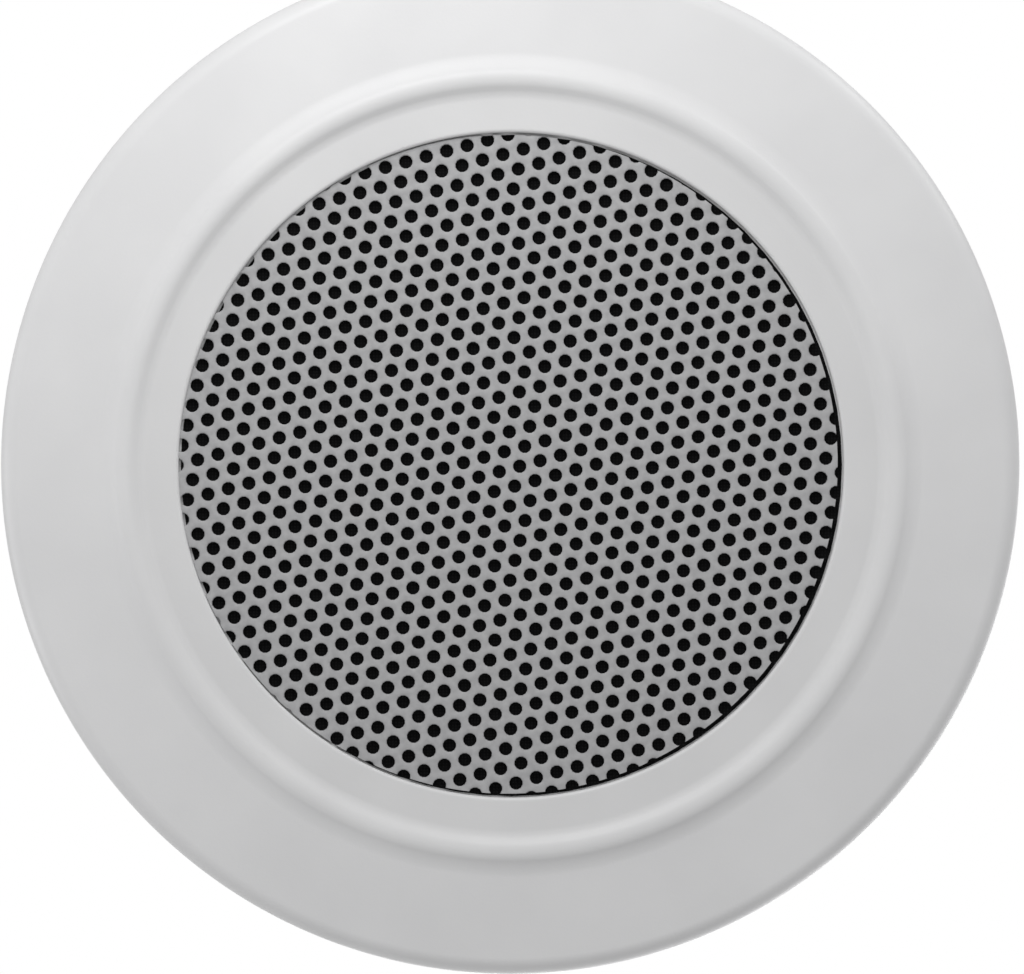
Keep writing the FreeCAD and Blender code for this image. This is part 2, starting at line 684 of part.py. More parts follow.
def clip_bracket():
    """Pressed bracket: a curved foot on the driver's rim, a back wall and two ears for the pin."""
    foot = Part.makeCylinder(driver_radius - BRACKET_EDGE, BRACKET_SHEET, FreeCAD.Vector(0, 0, rim_back_z), AXIS,
                             2 * BRACKET_HALF_ANGLE)
    foot.rotate(ORIGIN, AXIS, -BRACKET_HALF_ANGLE)
    foot = foot.cut(tube(bracket_inner, 0, rim_back_z, bracket_z))
    ends = [edge for edge in foot.Edges if edge.BoundBox.ZLength > BRACKET_SHEET / 2]
    foot = foot.makeFillet(BRACKET_END_ROUND, ends)
    width = 2 * (EAR_HALF_SPAN + BRACKET_SHEET)
    wall = Part.makeBox(BRACKET_SHEET, width, pivot_z + EAR_MARGIN - EAR_BACK_ROUND - rim_back_z,
                        FreeCAD.Vector(bracket_inner, -width / 2, rim_back_z))
    ear_face = Part.Face(Part.Wire(path_edges(ear_outline(), True)))
    ear = ear_face.extrude(FreeCAD.Vector(0, BRACKET_SHEET, 0))
    ear.translate(FreeCAD.Vector(0, EAR_HALF_SPAN, 0))
    far_ear = ear.mirror(ORIGIN, FreeCAD.Vector(0, 1, 0))
    bracket = foot.fuse([wall, ear, far_ear])
    bracket = bracket.cut(holes_at(SCREW_HOLE, screw_circle, rim_back_z, bracket_z, screw_angles()))
    hole = Part.makeCylinder(pin_radius + FIT_CLEARANCE, width, FreeCAD.Vector(pivot_x, -width / 2, pivot_z),
                             FreeCAD.Vector(0, 1, 0))
    return bracket.cut(hole).removeSplitter()


def clip_pin():
    """Headed pin through the ears, peened at the far end."""
    half = EAR_HALF_SPAN + BRACKET_SHEET
    across = FreeCAD.Vector(0, 1, 0)
    shank = Part.makeCylinder(pin_radius, 2 * half, FreeCAD.Vector(pivot_x, -half, pivot_z), across)
    heads = []
    for y in (half, -half - PIN_HEAD_HEIGHT):
        heads.append(Part.makeCylinder(PIN_HEAD, PIN_HEAD_HEIGHT, FreeCAD.Vector(pivot_x, y, pivot_z), across))
    return shank.fuse(heads).removeSplitter()


def arm_places():
    """Corners of the hairpin: out along one arm, across the loop and back along the other."""
    along = FreeCAD.Vector(math.cos(rest_angle), 0, math.sin(rest_angle))
    below = FreeCAD.Vector(math.sin(rest_angle), 0, -math.cos(rest_angle))
    start = FreeCAD.Vector(pivot_x, 0, pivot_z) + below * COIL_RADIUS
    tip = start + along * ((tip_x - start.x) / along.x)
    side = FreeCAD.Vector(0, arm_y, 0)
    return [start + side, tip + side, tip - side, start - side]


def coil():
    """The close turns of the spring on one side, drawn as a grooved sleeve."""
    inner = COIL_RADIUS - WIRE_RADIUS
    pitch = 2 * WIRE_RADIUS
    first = arm_y - WIRE_RADIUS
    section = [(inner, first)]
    for turn in range(COIL_TURNS):
        start = first + turn * pitch
        section.append((coil_outer - COIL_GROOVE, start))
        section.append((coil_outer, start + COIL_GROOVE))
        section.append((coil_outer, start + pitch - COIL_GROOVE))
    section.append((coil_outer - COIL_GROOVE, first + COIL_TURNS * pitch))
    section.append((inner, first + COIL_TURNS * pitch))
    sleeve = turned(section)
    sleeve.rotate(ORIGIN, FreeCAD.Vector(1, 0, 0), -90)
    sleeve.translate(FreeCAD.Vector(pivot_x, 0, pivot_z))
    return sleeve


def clip_spring():
    """Spring wire bent to a hairpin with a coil at each end. It turns on the pin and presses on the ceiling."""
    hairpin = swept_wire(arm_places(), [ARM_BEND, ARM_BEND], WIRE_RADIUS)
    near = coil()
    far = near.mirror(ORIGIN, FreeCAD.Vector(0, 1, 0))
    bore = Part.makeCylinder(COIL_RADIUS - WIRE_RADIUS, 2 * EAR_HALF_SPAN,
                             FreeCAD.Vector(pivot_x, -EAR_HALF_SPAN, pivot_z), FreeCAD.Vector(0, 1, 0))
    return hairpin.fuse([near, far]).cut(bore)


def clip_sleeve():
    """Soft tube on the hairpin's loop, which meets the ceiling board."""
    tip = (arm_places()[1] + arm_places()[2]) / 2
    half = arm_y - ARM_BEND - SLEEVE_INSET
    across = FreeCAD.Vector(0, 1, 0)
    start = tip - across * half
    inner = WIRE_RADIUS + SLEEVE_CLEARANCE
    sleeve = Part.makeCylinder(inner + SLEEVE_WALL, 2 * half, start, across)
    return sleeve.cut(Part.makeCylinder(inner, 2 * half, start, across))


pieces = {
    "bezel": bezel(),
    "grille": grille(),
    "grille_cloth": grille_cloth(),
    "driver_gasket": driver_gasket(),
    "basket": basket(),
    "surround": surround(),
    "cone": cone(),
    "dust_cap": dust_cap(),
    "voice_coil_former": voice_coil_former(),
    "voice_coil_winding": voice_coil_winding(),
    "spider": spider(),
    "top_plate": top_plate(),
    "magnet": magnet(),
    "yoke": yoke(),
    "magnet_rivets": magnet_rivets(),
    "driver_screws": driver_screws(),
    "terminal_board": terminal_board(),
    "terminal_positive": terminal_tab(TAB_SPACING / 2),
    "terminal_negative": terminal_tab(-TAB_SPACING / 2),
    "terminal_rivets": terminal_rivets(),
    "tinsel_lead_positive": tinsel_lead(1),
    "tinsel_lead_negative": tinsel_lead(-1),
    "clip_bracket_right": clip_bracket(),
    "clip_pin_right": clip_pin(),
    "clip_spring_right": clip_spring(),
    "clip_sleeve_right": clip_sleeve(),
}
for piece in ("clip_bracket", "clip_pin", "clip_spring", "clip_sleeve"):
    pieces[piece + "_left"] = opposite(pieces[piece + "_right"])

os.makedirs("parts", exist_ok=True)
for name, shape in pieces.items():
    shape.exportStep("parts/" + name + ".step")
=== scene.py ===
import json
import math

import bmesh
import bpy
from mathutils import Matrix, Vector


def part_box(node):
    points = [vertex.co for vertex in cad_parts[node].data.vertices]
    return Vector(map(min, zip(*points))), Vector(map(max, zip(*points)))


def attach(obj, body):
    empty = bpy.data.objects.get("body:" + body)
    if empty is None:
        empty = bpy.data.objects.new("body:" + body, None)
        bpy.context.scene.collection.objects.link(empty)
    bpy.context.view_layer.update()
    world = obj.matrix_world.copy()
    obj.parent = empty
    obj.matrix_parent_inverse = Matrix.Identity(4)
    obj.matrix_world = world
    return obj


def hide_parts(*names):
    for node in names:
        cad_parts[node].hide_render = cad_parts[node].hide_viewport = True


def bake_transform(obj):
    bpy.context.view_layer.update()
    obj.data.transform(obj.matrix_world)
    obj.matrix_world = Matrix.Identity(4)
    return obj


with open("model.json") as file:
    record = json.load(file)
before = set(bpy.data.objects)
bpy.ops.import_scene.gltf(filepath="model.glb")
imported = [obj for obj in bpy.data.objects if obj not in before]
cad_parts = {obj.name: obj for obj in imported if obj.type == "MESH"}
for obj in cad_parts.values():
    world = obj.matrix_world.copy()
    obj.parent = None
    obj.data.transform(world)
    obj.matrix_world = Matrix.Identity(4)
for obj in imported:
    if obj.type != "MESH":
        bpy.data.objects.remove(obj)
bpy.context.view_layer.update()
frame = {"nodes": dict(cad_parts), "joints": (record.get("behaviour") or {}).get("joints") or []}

# Bezel: the white front moulding with its sloping flange, raised bead, flat ring and collar.
# Injection-moulded plastic with a fine satin texture from the tool. The driver is screwed to its
# bosses, and the collar goes up into the hole in the ceiling.
MERGE = 0.000002
# Sizes that are used times MM are in millimetres, and all others in metres.
MM = 0.001
# Corners of the section: radius and height in mm, and for a rounded one its run and its steps.
SHELL_CORNERS = (
    (72.5, 0.0), (72.5, -2.803, 2.40, 14),  # edge of the flange
    (57.2, -4.0, 1.25, 10), (54.85, -5.56, 1.55, 14), (52.55, -4.0, 0.7, 8),  # bead
    (47.15, -4.0, 0.5, 6), (47.15, -2.2), (45.55, -2.2),  # lip and grille seat
    (45.55, 3.5), (47.75, 3.5), (47.75, -1.8), (54.0, -1.8),  # throat and channel
    (54.0, 12.0, 0.3, 3), (56.5, 12.0, 0.5, 4),  # collar
    (56.5, -1.863), (70.1, -0.792), (70.1, 0.0),  # back of the flange
)
SHELL_STEPS = 288
LONG_SIDE = 1.5
FLAT_HOLD = 0.15
SCREW_CIRCLE = 49.1
SCREWS = 6
BOSS_RADIUS = 2.9
BOSS_SIDES = 28
BOSS_LOW, BOSS_HIGH = -1.9, 3.48
RIBS = 12
RIB_START, RIB_END, RIB_WALL = 46.7, 54.8, 1.6
PLASTIC_LIGHT = (0.700, 0.700, 0.705, 1)
PLASTIC_SHADE = (0.675, 0.675, 0.681, 1)
# Painted shade: a tint multiplied into the plastic's colour, none at the start radius and full at the
# end radius, on the ring inside the bead.
RING_SHADE_TINT = (0.945, 0.945, 0.943, 1)
RING_SHADE_START, RING_SHADE_END = 0.0565, 0.0525
NOISE_LOW, NOISE_HIGH = 0.3, 0.7


def hold_flats(bm):
    """A point near each end of every long side, so that flats look flat beside a rounding."""
    for side in [edge for edge in bm.edges if edge.calc_length() > LONG_SIDE * MM]:
        for vert in list(side.verts):
            bmesh.utils.edge_split(side, vert, FLAT_HOLD * MM / side.calc_length())


def turn_round(bm, geom, steps):
    """Turns a section line all the way round the axis."""
    bmesh.ops.spin(
        bm,
        geom=geom,
        axis=(0, 0, 1),
        cent=(0, 0, 0),
        angle=2 * math.pi,
        steps=steps,
        use_merge=True,
    )


def build_shell():
    """The moulding's section with its corners rounded, turned about the axis."""
    shell = bmesh.new()
    line = [shell.verts.new((corner[0] * MM, 0, corner[1] * MM)) for corner in SHELL_CORNERS]
    shell.faces.new(line)
    for vert, corner in zip(line, SHELL_CORNERS):
        if len(corner) == 4:
            run, steps = corner[2:]
            bmesh.ops.bevel(
                shell,
                geom=[vert],
                offset=run * MM,
                offset_type="OFFSET",
                segments=steps,
                profile=0.5,
                affect="VERTICES",
                material=-1,
            )
    bmesh.ops.delete(shell, geom=list(shell.faces), context="FACES_ONLY")
    hold_flats(shell)
    turn_round(shell, list(shell.verts) + list(shell.edges), SHELL_STEPS)
    return shell


def build_bosses():
    """Screw bosses and stiffening ribs in the channel between throat and collar."""
    bosses = bmesh.new()
    height = (BOSS_HIGH - BOSS_LOW) * MM
    middle = (BOSS_HIGH + BOSS_LOW) / 2 * MM
    for index in range(SCREWS):
        turn = Matrix.Rotation((index + 0.5) * 2 * math.pi / SCREWS, 4, "Z")
        place = turn @ Matrix.Translation((SCREW_CIRCLE * MM, 0, middle))
        bmesh.ops.create_cone(
            bosses,
            cap_ends=True,
            segments=BOSS_SIDES,
            radius1=BOSS_RADIUS * MM,
            radius2=BOSS_RADIUS * MM,
            depth=height,
            matrix=place,
        )
    for index in range(RIBS):
        turn = Matrix.Rotation((index + 0.5) * 2 * math.pi / RIBS, 4, "Z")
        place = turn @ Matrix.Translation(((RIB_START + RIB_END) / 2 * MM, 0, middle))
        size = Matrix.Diagonal(((RIB_END - RIB_START) * MM, RIB_WALL * MM, height, 1))
        bmesh.ops.create_cube(bosses, size=1, matrix=place @ size)
    return bosses


def add_piece(name, bm, material, body, slot, *replaced, smooth=40.0):
    """Makes a finished mesh an object, parented to its body when the body is a name, and hides the CAD
    nodes that it stands for.
    """
    bmesh.ops.remove_doubles(bm, verts=bm.verts, dist=MERGE)
    bmesh.ops.recalc_face_normals(bm, faces=bm.faces)
    mesh = bpy.data.meshes.new(name)
    bm.to_mesh(mesh)
    bm.free()
    mesh.shade_smooth()
    mesh.set_sharp_from_angle(angle=math.radians(smooth))
    mesh.materials.append(material)
    piece = bpy.data.objects.new(name, mesh)
    bpy.context.scene.collection.objects.link(piece)
    if isinstance(body, str):
        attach(piece, body)
    else:
        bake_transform(piece)
    if replaced:
        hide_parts(*replaced)
    return piece


def build_uneven_surface():
    """Shader group: slow clouds of colour and shine, and a fine speck for grain."""
    group = bpy.data.node_groups.new("uneven_surface", "ShaderNodeTree")
    for name in ("Cloud Scale", "Speck Scale"):
        group.interface.new_socket(name, in_out="INPUT", socket_type="NodeSocketFloat")
    for name in ("Cloud", "Speck"):
        group.interface.new_socket(name, in_out="OUTPUT", socket_type="NodeSocketFloat")
    inside = group.nodes.new("NodeGroupInput")
    outside = group.nodes.new("NodeGroupOutput")
    place = group.nodes.new("ShaderNodeTexCoord")
    for name, detail in (("Cloud", 3.0), ("Speck", 2.0)):
        noise = group.nodes.new("ShaderNodeTexNoise")
        noise.inputs["Detail"].default_value = detail
        group.links.new(place.outputs["Object"], noise.inputs["Vector"])
        group.links.new(inside.outputs[name + " Scale"], noise.inputs["Scale"])
        group.links.new(noise.outputs["Fac"], outside.inputs[name])
    return group


uneven_surface = build_uneven_surface()


def start_material(name):
    """A new material with its node tree and its shader."""
    material = bpy.data.materials.new(name)
    material.use_nodes = True
    return material, material.node_tree, material.node_tree.nodes["Principled BSDF"]


def add_uneven(tree, cloud_scale, speck_scale):
    """The shared clouds and specks, at this material's own scales."""
    node = tree.nodes.new("ShaderNodeGroup")
    node.node_tree = uneven_surface
    node.inputs["Cloud Scale"].default_value = cloud_scale
    node.inputs["Speck Scale"].default_value = speck_scale
    return node


def link_colour(tree, shader, factor, light, dark, low=0.35, high=0.65):
    """Colour that goes from light to dark as the factor goes from low to high."""
    ramp = tree.nodes.new("ShaderNodeValToRGB")
    ramp.color_ramp.elements[0].position = low
    ramp.color_ramp.elements[0].color = light
    ramp.color_ramp.elements[1].position = high
    ramp.color_ramp.elements[1].color = dark
    tree.links.new(factor, ramp.inputs["Fac"])
    tree.links.new(ramp.outputs["Color"], shader.inputs["Base Color"])


def link_roughness(tree, shader, factor, low, high):
    """Shine that varies between two roughnesses."""
    span = tree.nodes.new("ShaderNodeMapRange")
    span.inputs["From Min"].default_value = NOISE_LOW
    span.inputs["From Max"].default_value = NOISE_HIGH
    span.inputs["To Min"].default_value = low
    span.inputs["To Max"].default_value = high
    tree.links.new(factor, span.inputs["Value"])
    tree.links.new(span.outputs["Result"], shader.inputs["Roughness"])


def link_bump(tree, shader, height, depth, strength=0.5):
    """Fine relief from a height that varies over the surface."""
    bump = tree.nodes.new("ShaderNodeBump")
    bump.inputs["Strength"].default_value = strength
    bump.inputs["Distance"].default_value = depth
    tree.links.new(height, bump.inputs["Height"])
    tree.links.new(bump.outputs["Normal"], shader.inputs["Normal"])


def uneven_material(name, light, dark, rough, scales, depth, metallic=0.0):
    """A finish with slow clouds in its colour and shine and a fine grain in its relief."""
    material, tree, shader = start_material(name)
    uneven = add_uneven(tree, *scales)
    link_colour(tree, shader, uneven.outputs["Cloud"], light, dark)
    link_roughness(tree, shader, uneven.outputs["Cloud"], *rough)
    link_bump(tree, shader, uneven.outputs["Speck"], depth)
    shader.inputs["Metallic"].default_value = metallic
    return material


def dress(material, *names):
    """Gives CAD nodes their finish."""
    for name in names:
        frame["nodes"][name].data.materials.clear()
        frame["nodes"][name].data.materials.append(material)


def add_painted_ring_shade(material):
    """Painted shade: a faint darkening of the ring round the grille, inside the bead, where the bead and
    the dark grille shade it.
    """
    tree = material.node_tree
    shader = tree.nodes["Principled BSDF"]
    place = tree.nodes.new("ShaderNodeTexCoord")
    flat = tree.nodes.new("ShaderNodeVectorMath")
    flat.operation = "MULTIPLY"
    flat.inputs[1].default_value = (1, 1, 0)
    tree.links.new(place.outputs["Object"], flat.inputs[0])
    radius = tree.nodes.new("ShaderNodeVectorMath")
    radius.operation = "LENGTH"
    tree.links.new(flat.outputs["Vector"], radius.inputs[0])
    amount = tree.nodes.new("ShaderNodeMapRange")
    amount.inputs["From Min"].default_value = RING_SHADE_START
    amount.inputs["From Max"].default_value = RING_SHADE_END
    tree.links.new(radius.outputs["Value"], amount.inputs["Value"])
    # Painted shade: the tint is multiplied into the plastic's colour.
    film = tree.nodes.new("ShaderNodeMix")
    film.data_type = "RGBA"
    film.blend_type = "MULTIPLY"
    film.inputs["B"].default_value = RING_SHADE_TINT
    tree.links.new(amount.outputs["Result"], film.inputs["Factor"])
    unshaded = shader.inputs["Base Color"].links[0].from_socket
    tree.links.new(unshaded, film.inputs["A"])
    tree.links.new(film.outputs["Result"], shader.inputs["Base Color"])


white_plastic = uneven_material(
    "white_plastic", PLASTIC_LIGHT, PLASTIC_SHADE,
    rough=(0.42, 0.52), scales=(60, 2600), depth=0.00002,
)
# Painted shade on the ring inside the bead, in the plastic's colour.
add_painted_ring_shade(white_plastic)
add_piece("bezel_shell", build_shell(), white_plastic, "housing", "white_plastic", "bezel")
add_piece("bezel_bosses", build_bosses(), white_plastic, "housing", "white_plastic")

# Grille: a disc of punched steel sheet, painted pale grey, let into the bezel's opening.
# Round holes stand in staggered rows, and the disc's edge cuts through the holes that it meets.
# Each cell is a six-sided patch of sheet with one hole, whose rim is rounded by the punch.
ROW_STEP = Vector((0.002896, -0.000778, 0))
COLUMN_STEP = Vector((0.002184, 0.002051, 0))
FIRST_HOLE = Vector((0.00118, 0.00016, 0))
PAINT_BUILD = 0.0001
HOLE_SIDES = 12
HOLE_RIM = 0.00113
# Radius and depth that each step of a hole ends at: two round its rim, one down its wall.
HOLE_STEPS = ((0.00104, 0.00004), (0.00096, 0.00015), (0.00096, 0.00080))
SHEAR_SIDES = 144
SHEET_LIGHT = (0.390, 0.390, 0.395, 1)
SHEET_SHADE = (0.340, 0.340, 0.346, 1)
sheet_low, sheet_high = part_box("grille")
sheet_middle = (sheet_low + sheet_high) / 2
sheet_radius = (sheet_high.x - sheet_low.x) / 2 + PAINT_BUILD
sheet_thickness = sheet_high.z - sheet_low.z


def cell_corners():
    """Corners of the six-sided patch round one hole, in order."""
    half = [ROW_STEP + COLUMN_STEP, 2 * ROW_STEP - COLUMN_STEP, ROW_STEP - 2 * COLUMN_STEP]
    return [corner / 3 for corner in half] + [-corner / 3 for corner in half]


def ring_of(edges):
    """The vertices of a ring of edges."""
    return list(dict.fromkeys(vert for edge in edges for vert in edge.verts))


def edges_at(verts):
    """The edges that meet at any of these vertices."""
    return list(dict.fromkeys(edge for vert in verts for edge in vert.link_edges))


def edges_in(items):
    """The edges among the results of a step."""
    return [item for item in items if isinstance(item, bmesh.types.BMEdge)]


def verts_in(items):
    """The vertices among the results of a step."""
    return [item for item in items if isinstance(item, bmesh.types.BMVert)]


def build_cell():
    """One patch of sheet: front face, rounded hole rim, hole wall and back face."""
    cell = bmesh.new()
    corners = [cell.verts.new(corner) for corner in cell_corners()]
    sides = [cell.edges.new((corners[index - 1], corner)) for index, corner in enumerate(corners)]
    bmesh.ops.subdivide_edges(cell, edges=sides, cuts=1)
    front = list(cell.edges)
    copy = bmesh.ops.duplicate(cell, geom=front + ring_of(front))
    back = edges_in(copy["geom"])
    bmesh.ops.translate(cell, vec=(0, 0, sheet_thickness), verts=ring_of(back))
    start = cell_corners()[0]
    turn = Matrix.Rotation(math.atan2(start.y, start.x), 4, "Z")
    circle = bmesh.ops.create_circle(cell, segments=HOLE_SIDES, radius=HOLE_RIM, matrix=turn)
    hole = edges_at(circle["verts"])
    bmesh.ops.bridge_loops(cell, edges=front + hole)
    radius, depth = HOLE_RIM, 0.0
    for next_radius, next_depth in HOLE_STEPS:
        step = bmesh.ops.extrude_edge_only(cell, edges=hole)
        hole = [edge for edge in edges_in(step["geom"]) if len(edge.link_faces) == 1]
        share = next_radius / radius
        bmesh.ops.scale(cell, vec=(share, share, 1), verts=ring_of(hole))
        bmesh.ops.translate(cell, vec=(0, 0, next_depth - depth), verts=ring_of(hole))
        radius, depth = next_radius, next_depth
    bmesh.ops.bridge_loops(cell, edges=back + hole)
    bmesh.ops.translate(cell, vec=(0, 0, sheet_low.z), verts=cell.verts)
    mesh = bpy.data.meshes.new("grille_cell")
    cell.to_mesh(mesh)
    cell.free()
    return mesh


def find_holes():
    """Places of the holes whose patches lie inside the disc, and of those that its edge may cut."""
    reach = max(corner.length for corner in cell_corners())
    rows = int(2 * sheet_radius / ROW_STEP.length)
    inner, outer = [], []
    for row in range(-rows, rows + 1):
        for column in range(-rows, rows + 1):
            hole = FIRST_HOLE + row * ROW_STEP + column * COLUMN_STEP
            away = math.hypot(hole.x - sheet_middle.x, hole.y - sheet_middle.y)
            if away + reach <= sheet_radius:
                inner.append(hole)
            elif away - reach <= sheet_radius:
                outer.append(hole)
    return inner, outer


def lay_cells(cell, holes):
    """A patch of sheet round each hole, joined to its neighbours."""
    sheet = bmesh.new()
    for hole in holes:
        patch = cell.copy()
        patch.transform(Matrix.Translation(hole))
        sheet.from_mesh(patch)
        bpy.data.meshes.remove(patch)
    bmesh.ops.remove_doubles(sheet, verts=sheet.verts, dist=MERGE)
    return sheet


def close_outside(sheet):
    """Walls in the ragged border outside the disc, so that a cut makes closed outlines."""
    border = []
    for edge in sheet.edges:
        outside = all(
            (vert.co - sheet_middle).xy.length > sheet_radius - MERGE for vert in edge.verts
        )
        at_front = all(vert.co.z < sheet_low.z + MERGE for vert in edge.verts)
        if len(edge.link_faces) == 1 and outside and at_front:
            border.append(edge)
    wall = bmesh.ops.extrude_edge_only(sheet, edges=border)
    bmesh.ops.translate(sheet, vec=(0, 0, sheet_thickness), verts=verts_in(wall["geom"]))
    bmesh.ops.remove_doubles(sheet, verts=sheet.verts, dist=MERGE)


def trim_round(sheet):
    """Shears the sheet to a round edge, side by side, and fills each cut where there is metal."""
    for index in range(SHEAR_SIDES):
        outward = Matrix.Rotation(index * 2 * math.pi / SHEAR_SIDES, 3, "Z") @ Vector((1, 0, 0))
        cut = bmesh.ops.bisect_plane(
            sheet,
            geom=list(sheet.verts) + list(sheet.edges) + list(sheet.faces),
            plane_co=sheet_middle + outward * sheet_radius,
            plane_no=outward,
            clear_outer=True,
        )
        bmesh.ops.holes_fill(sheet, edges=edges_in(cut["geom_cut"]))


def build_sheet():
    """The whole disc: whole patches inside, trimmed ones round them."""
    cell = build_cell()
    inner, outer = find_holes()
    sheet = lay_cells(cell, inner)
    rim = lay_cells(cell, outer)
    close_outside(rim)
    trim_round(rim)
    trimmed = bpy.data.meshes.new("grille_rim")
    rim.to_mesh(trimmed)
    rim.free()
    sheet.from_mesh(trimmed)
    bpy.data.meshes.remove(trimmed)
    bpy.data.meshes.remove(cell)
    return sheet


painted_sheet = uneven_material(
    "painted_sheet", SHEET_LIGHT, SHEET_SHADE,
    rough=(0.40, 0.55), scales=(900, 3200), depth=0.00002,
)
add_piece("grille_sheet", build_sheet(), painted_sheet, "housing", "painted_sheet", "grille")

# Grille cloth: a disc of thin black acoustic cloth, laid flat against the back of the grille.
# It hides the driver and keeps dust out, and the ledge of the bezel traps its edge. It lies a
# little to one side, like the grille, and shows in the gap beside it.
CLOTH_BLACK = (0.003, 0.003, 0.0032, 1)
CLOTH_THREAD = (0.009, 0.009, 0.0095, 1)
CLOTH_SPECULAR = 0.1
CLOTH_STEPS = 14
CLOTH_SIDES = 72
CLOTH_THICKNESS = 0.00022
CLOTH_SAG = 0.00002
SAG_ALONG, SAG_ACROSS = 190, 230
CLOTH_SHIFT = Vector((0.00005, 0.00008, 0))
THREAD_SCALE = 700.0
WEAVE_CLOUDS = 150
cloth_low, cloth_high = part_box("grille_cloth")
cloth_radius = (cloth_high.x - cloth_low.x) / 2 - CLOTH_SHIFT.length


def add_bands(tree, scale, direction, distortion=0.0):
    """Even bands over the surface, for threads, turning marks and windings."""
    place = tree.nodes.new("ShaderNodeTexCoord")
    wave = tree.nodes.new("ShaderNodeTexWave")
    wave.wave_type = "RINGS" if direction == "ROUND" else "BANDS"
    if direction == "ROUND":
        wave.rings_direction = "Z"
    else:
        wave.bands_direction = direction
    wave.inputs["Scale"].default_value = scale
    wave.inputs["Distortion"].default_value = distortion
    tree.links.new(place.outputs["Object"], wave.inputs["Vector"])
    return wave.outputs["Fac"]


def woven_material(name, light, dark, scale, depth, rough):
    """Cloth: two sets of threads that cross, darker between them."""
    material, tree, shader = start_material(name)
    weave = tree.nodes.new("ShaderNodeMath")
    weave.operation = "MULTIPLY"
    tree.links.new(add_bands(tree, scale, "X"), weave.inputs[0])
    tree.links.new(add_bands(tree, scale, "Y"), weave.inputs[1])
    uneven = add_uneven(tree, cloud_scale=WEAVE_CLOUDS, speck_scale=scale)
    link_colour(tree, shader, weave.outputs["Value"], dark, light, low=0.1, high=0.8)
    link_roughness(tree, shader, uneven.outputs["Cloud"], *rough)
    link_bump(tree, shader, weave.outputs["Value"], depth)
    return material


def build_cloth():
    """A flat round of cloth with a slight unevenness where it is not held."""
    cloth = bmesh.new()
    radii = [cloth_radius * index / CLOTH_STEPS for index in range(CLOTH_STEPS + 1)]
    line = [cloth.verts.new((radius, 0, 0)) for radius in radii]
    spokes = [cloth.edges.new(pair) for pair in zip(line, line[1:])]
    turn_round(cloth, line + spokes, CLOTH_SIDES)
    bmesh.ops.remove_doubles(cloth, verts=cloth.verts, dist=MERGE)
    for vert in cloth.verts:
        vert.co.z = CLOTH_SAG * math.sin(SAG_ALONG * vert.co.x) * math.sin(SAG_ACROSS * vert.co.y)
    middle = (cloth_low + cloth_high) / 2 + CLOTH_SHIFT
    bmesh.ops.translate(cloth, vec=middle, verts=cloth.verts)
    bmesh.ops.recalc_face_normals(cloth, faces=cloth.faces)
    bmesh.ops.solidify(cloth, geom=list(cloth.faces), thickness=CLOTH_THICKNESS)
    return cloth


black_cloth = woven_material(
    "black_cloth", CLOTH_THREAD, CLOTH_BLACK, scale=THREAD_SCALE, depth=0.0001, rough=(0.85, 0.95)
)
cloth_shader = black_cloth.node_tree.nodes["Principled BSDF"]
cloth_shader.inputs["Specular IOR Level"].default_value = CLOTH_SPECULAR
acoustic_cloth = add_piece(
    "acoustic_cloth", build_cloth(), black_cloth, "housing", "black_cloth", "grille_cloth"
)

# Driver gasket: a ring of soft black foam between the bezel's seat and the driver's rim.
# Die-cut from closed-cell sheet; the screws squeeze it, so its edges swell a little.
FOAM_BLACK = (0.020, 0.020, 0.021, 1)
FOAM_GREY = (0.045, 0.045, 0.047, 1)
GASKET_INNER = 0.04605
GASKET_SWELL = 0.00025
GASKET_STEPS = 128
gasket_low, gasket_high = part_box("driver_gasket")


def spun_ring(corners, steps, closed=True):
    """A ring from (radius, height) corners of its section, turned about the axis."""
    ring = bmesh.new()
    line = [ring.verts.new((radius, 0, height)) for radius, height in corners]
    ends = list(zip(line, line[1:])) + ([(line[-1], line[0])] if closed else [])
    edges = [ring.edges.new(pair) for pair in ends]
    turn_round(ring, line + edges, steps)
    return ring


def gasket_section():
    """A flat bar whose inner and outer edges bulge."""
    low, high = gasket_low.z, gasket_high.z
    middle = (low + high) / 2
    return [
        (GASKET_INNER, low),
        (gasket_high.x - GASKET_SWELL, low),
        (gasket_high.x, middle),
        (gasket_high.x - GASKET_SWELL, high),
        (GASKET_INNER, high),
        (GASKET_INNER - GASKET_SWELL, middle),
    ]


foam = uneven_material(
    "foam", FOAM_BLACK, FOAM_GREY, rough=(0.85, 0.97), scales=(700, 1900), depth=0.00025
)
gasket_ring = spun_ring(gasket_section(), GASKET_STEPS)
foam_gasket = add_piece(
    "foam_gasket", gasket_ring, foam, "housing", "foam", "driver_gasket", smooth=70
)

# Basket: the driver's frame, pressed from one steel sheet with six windows between its legs.
# Its black coat is baked on, a little uneven, with a soft shine.
COAT_BLACK = (0.018, 0.018, 0.019, 1)
COAT_WORN = (0.034, 0.034, 0.036, 1)
black_steel = uneven_material(
    "black_steel", COAT_BLACK, COAT_WORN, rough=(0.28, 0.46), scales=(120, 1100), depth=0.00003
)
dress(black_steel, "basket")

# Surround: the soft rubber half roll between the cone's edge and the basket's rim.
# Moulded in one piece; it is made here in twelve even parts.
RUBBER_BLACK = (0.012, 0.012, 0.0125, 1)
RUBBER_DUST = (0.026, 0.026, 0.027, 1)
RUBBER_THICKNESS = 0.0005
RIM_Z = 0.0055
LAND_OUTER = 0.0460
ROLL_OUTER = 0.04265
ROLL_INNER = 0.03665
LAND_INNER = 0.03425
ROLL_STEPS = 14
SECTORS = 12
SECTOR_STEPS = 8


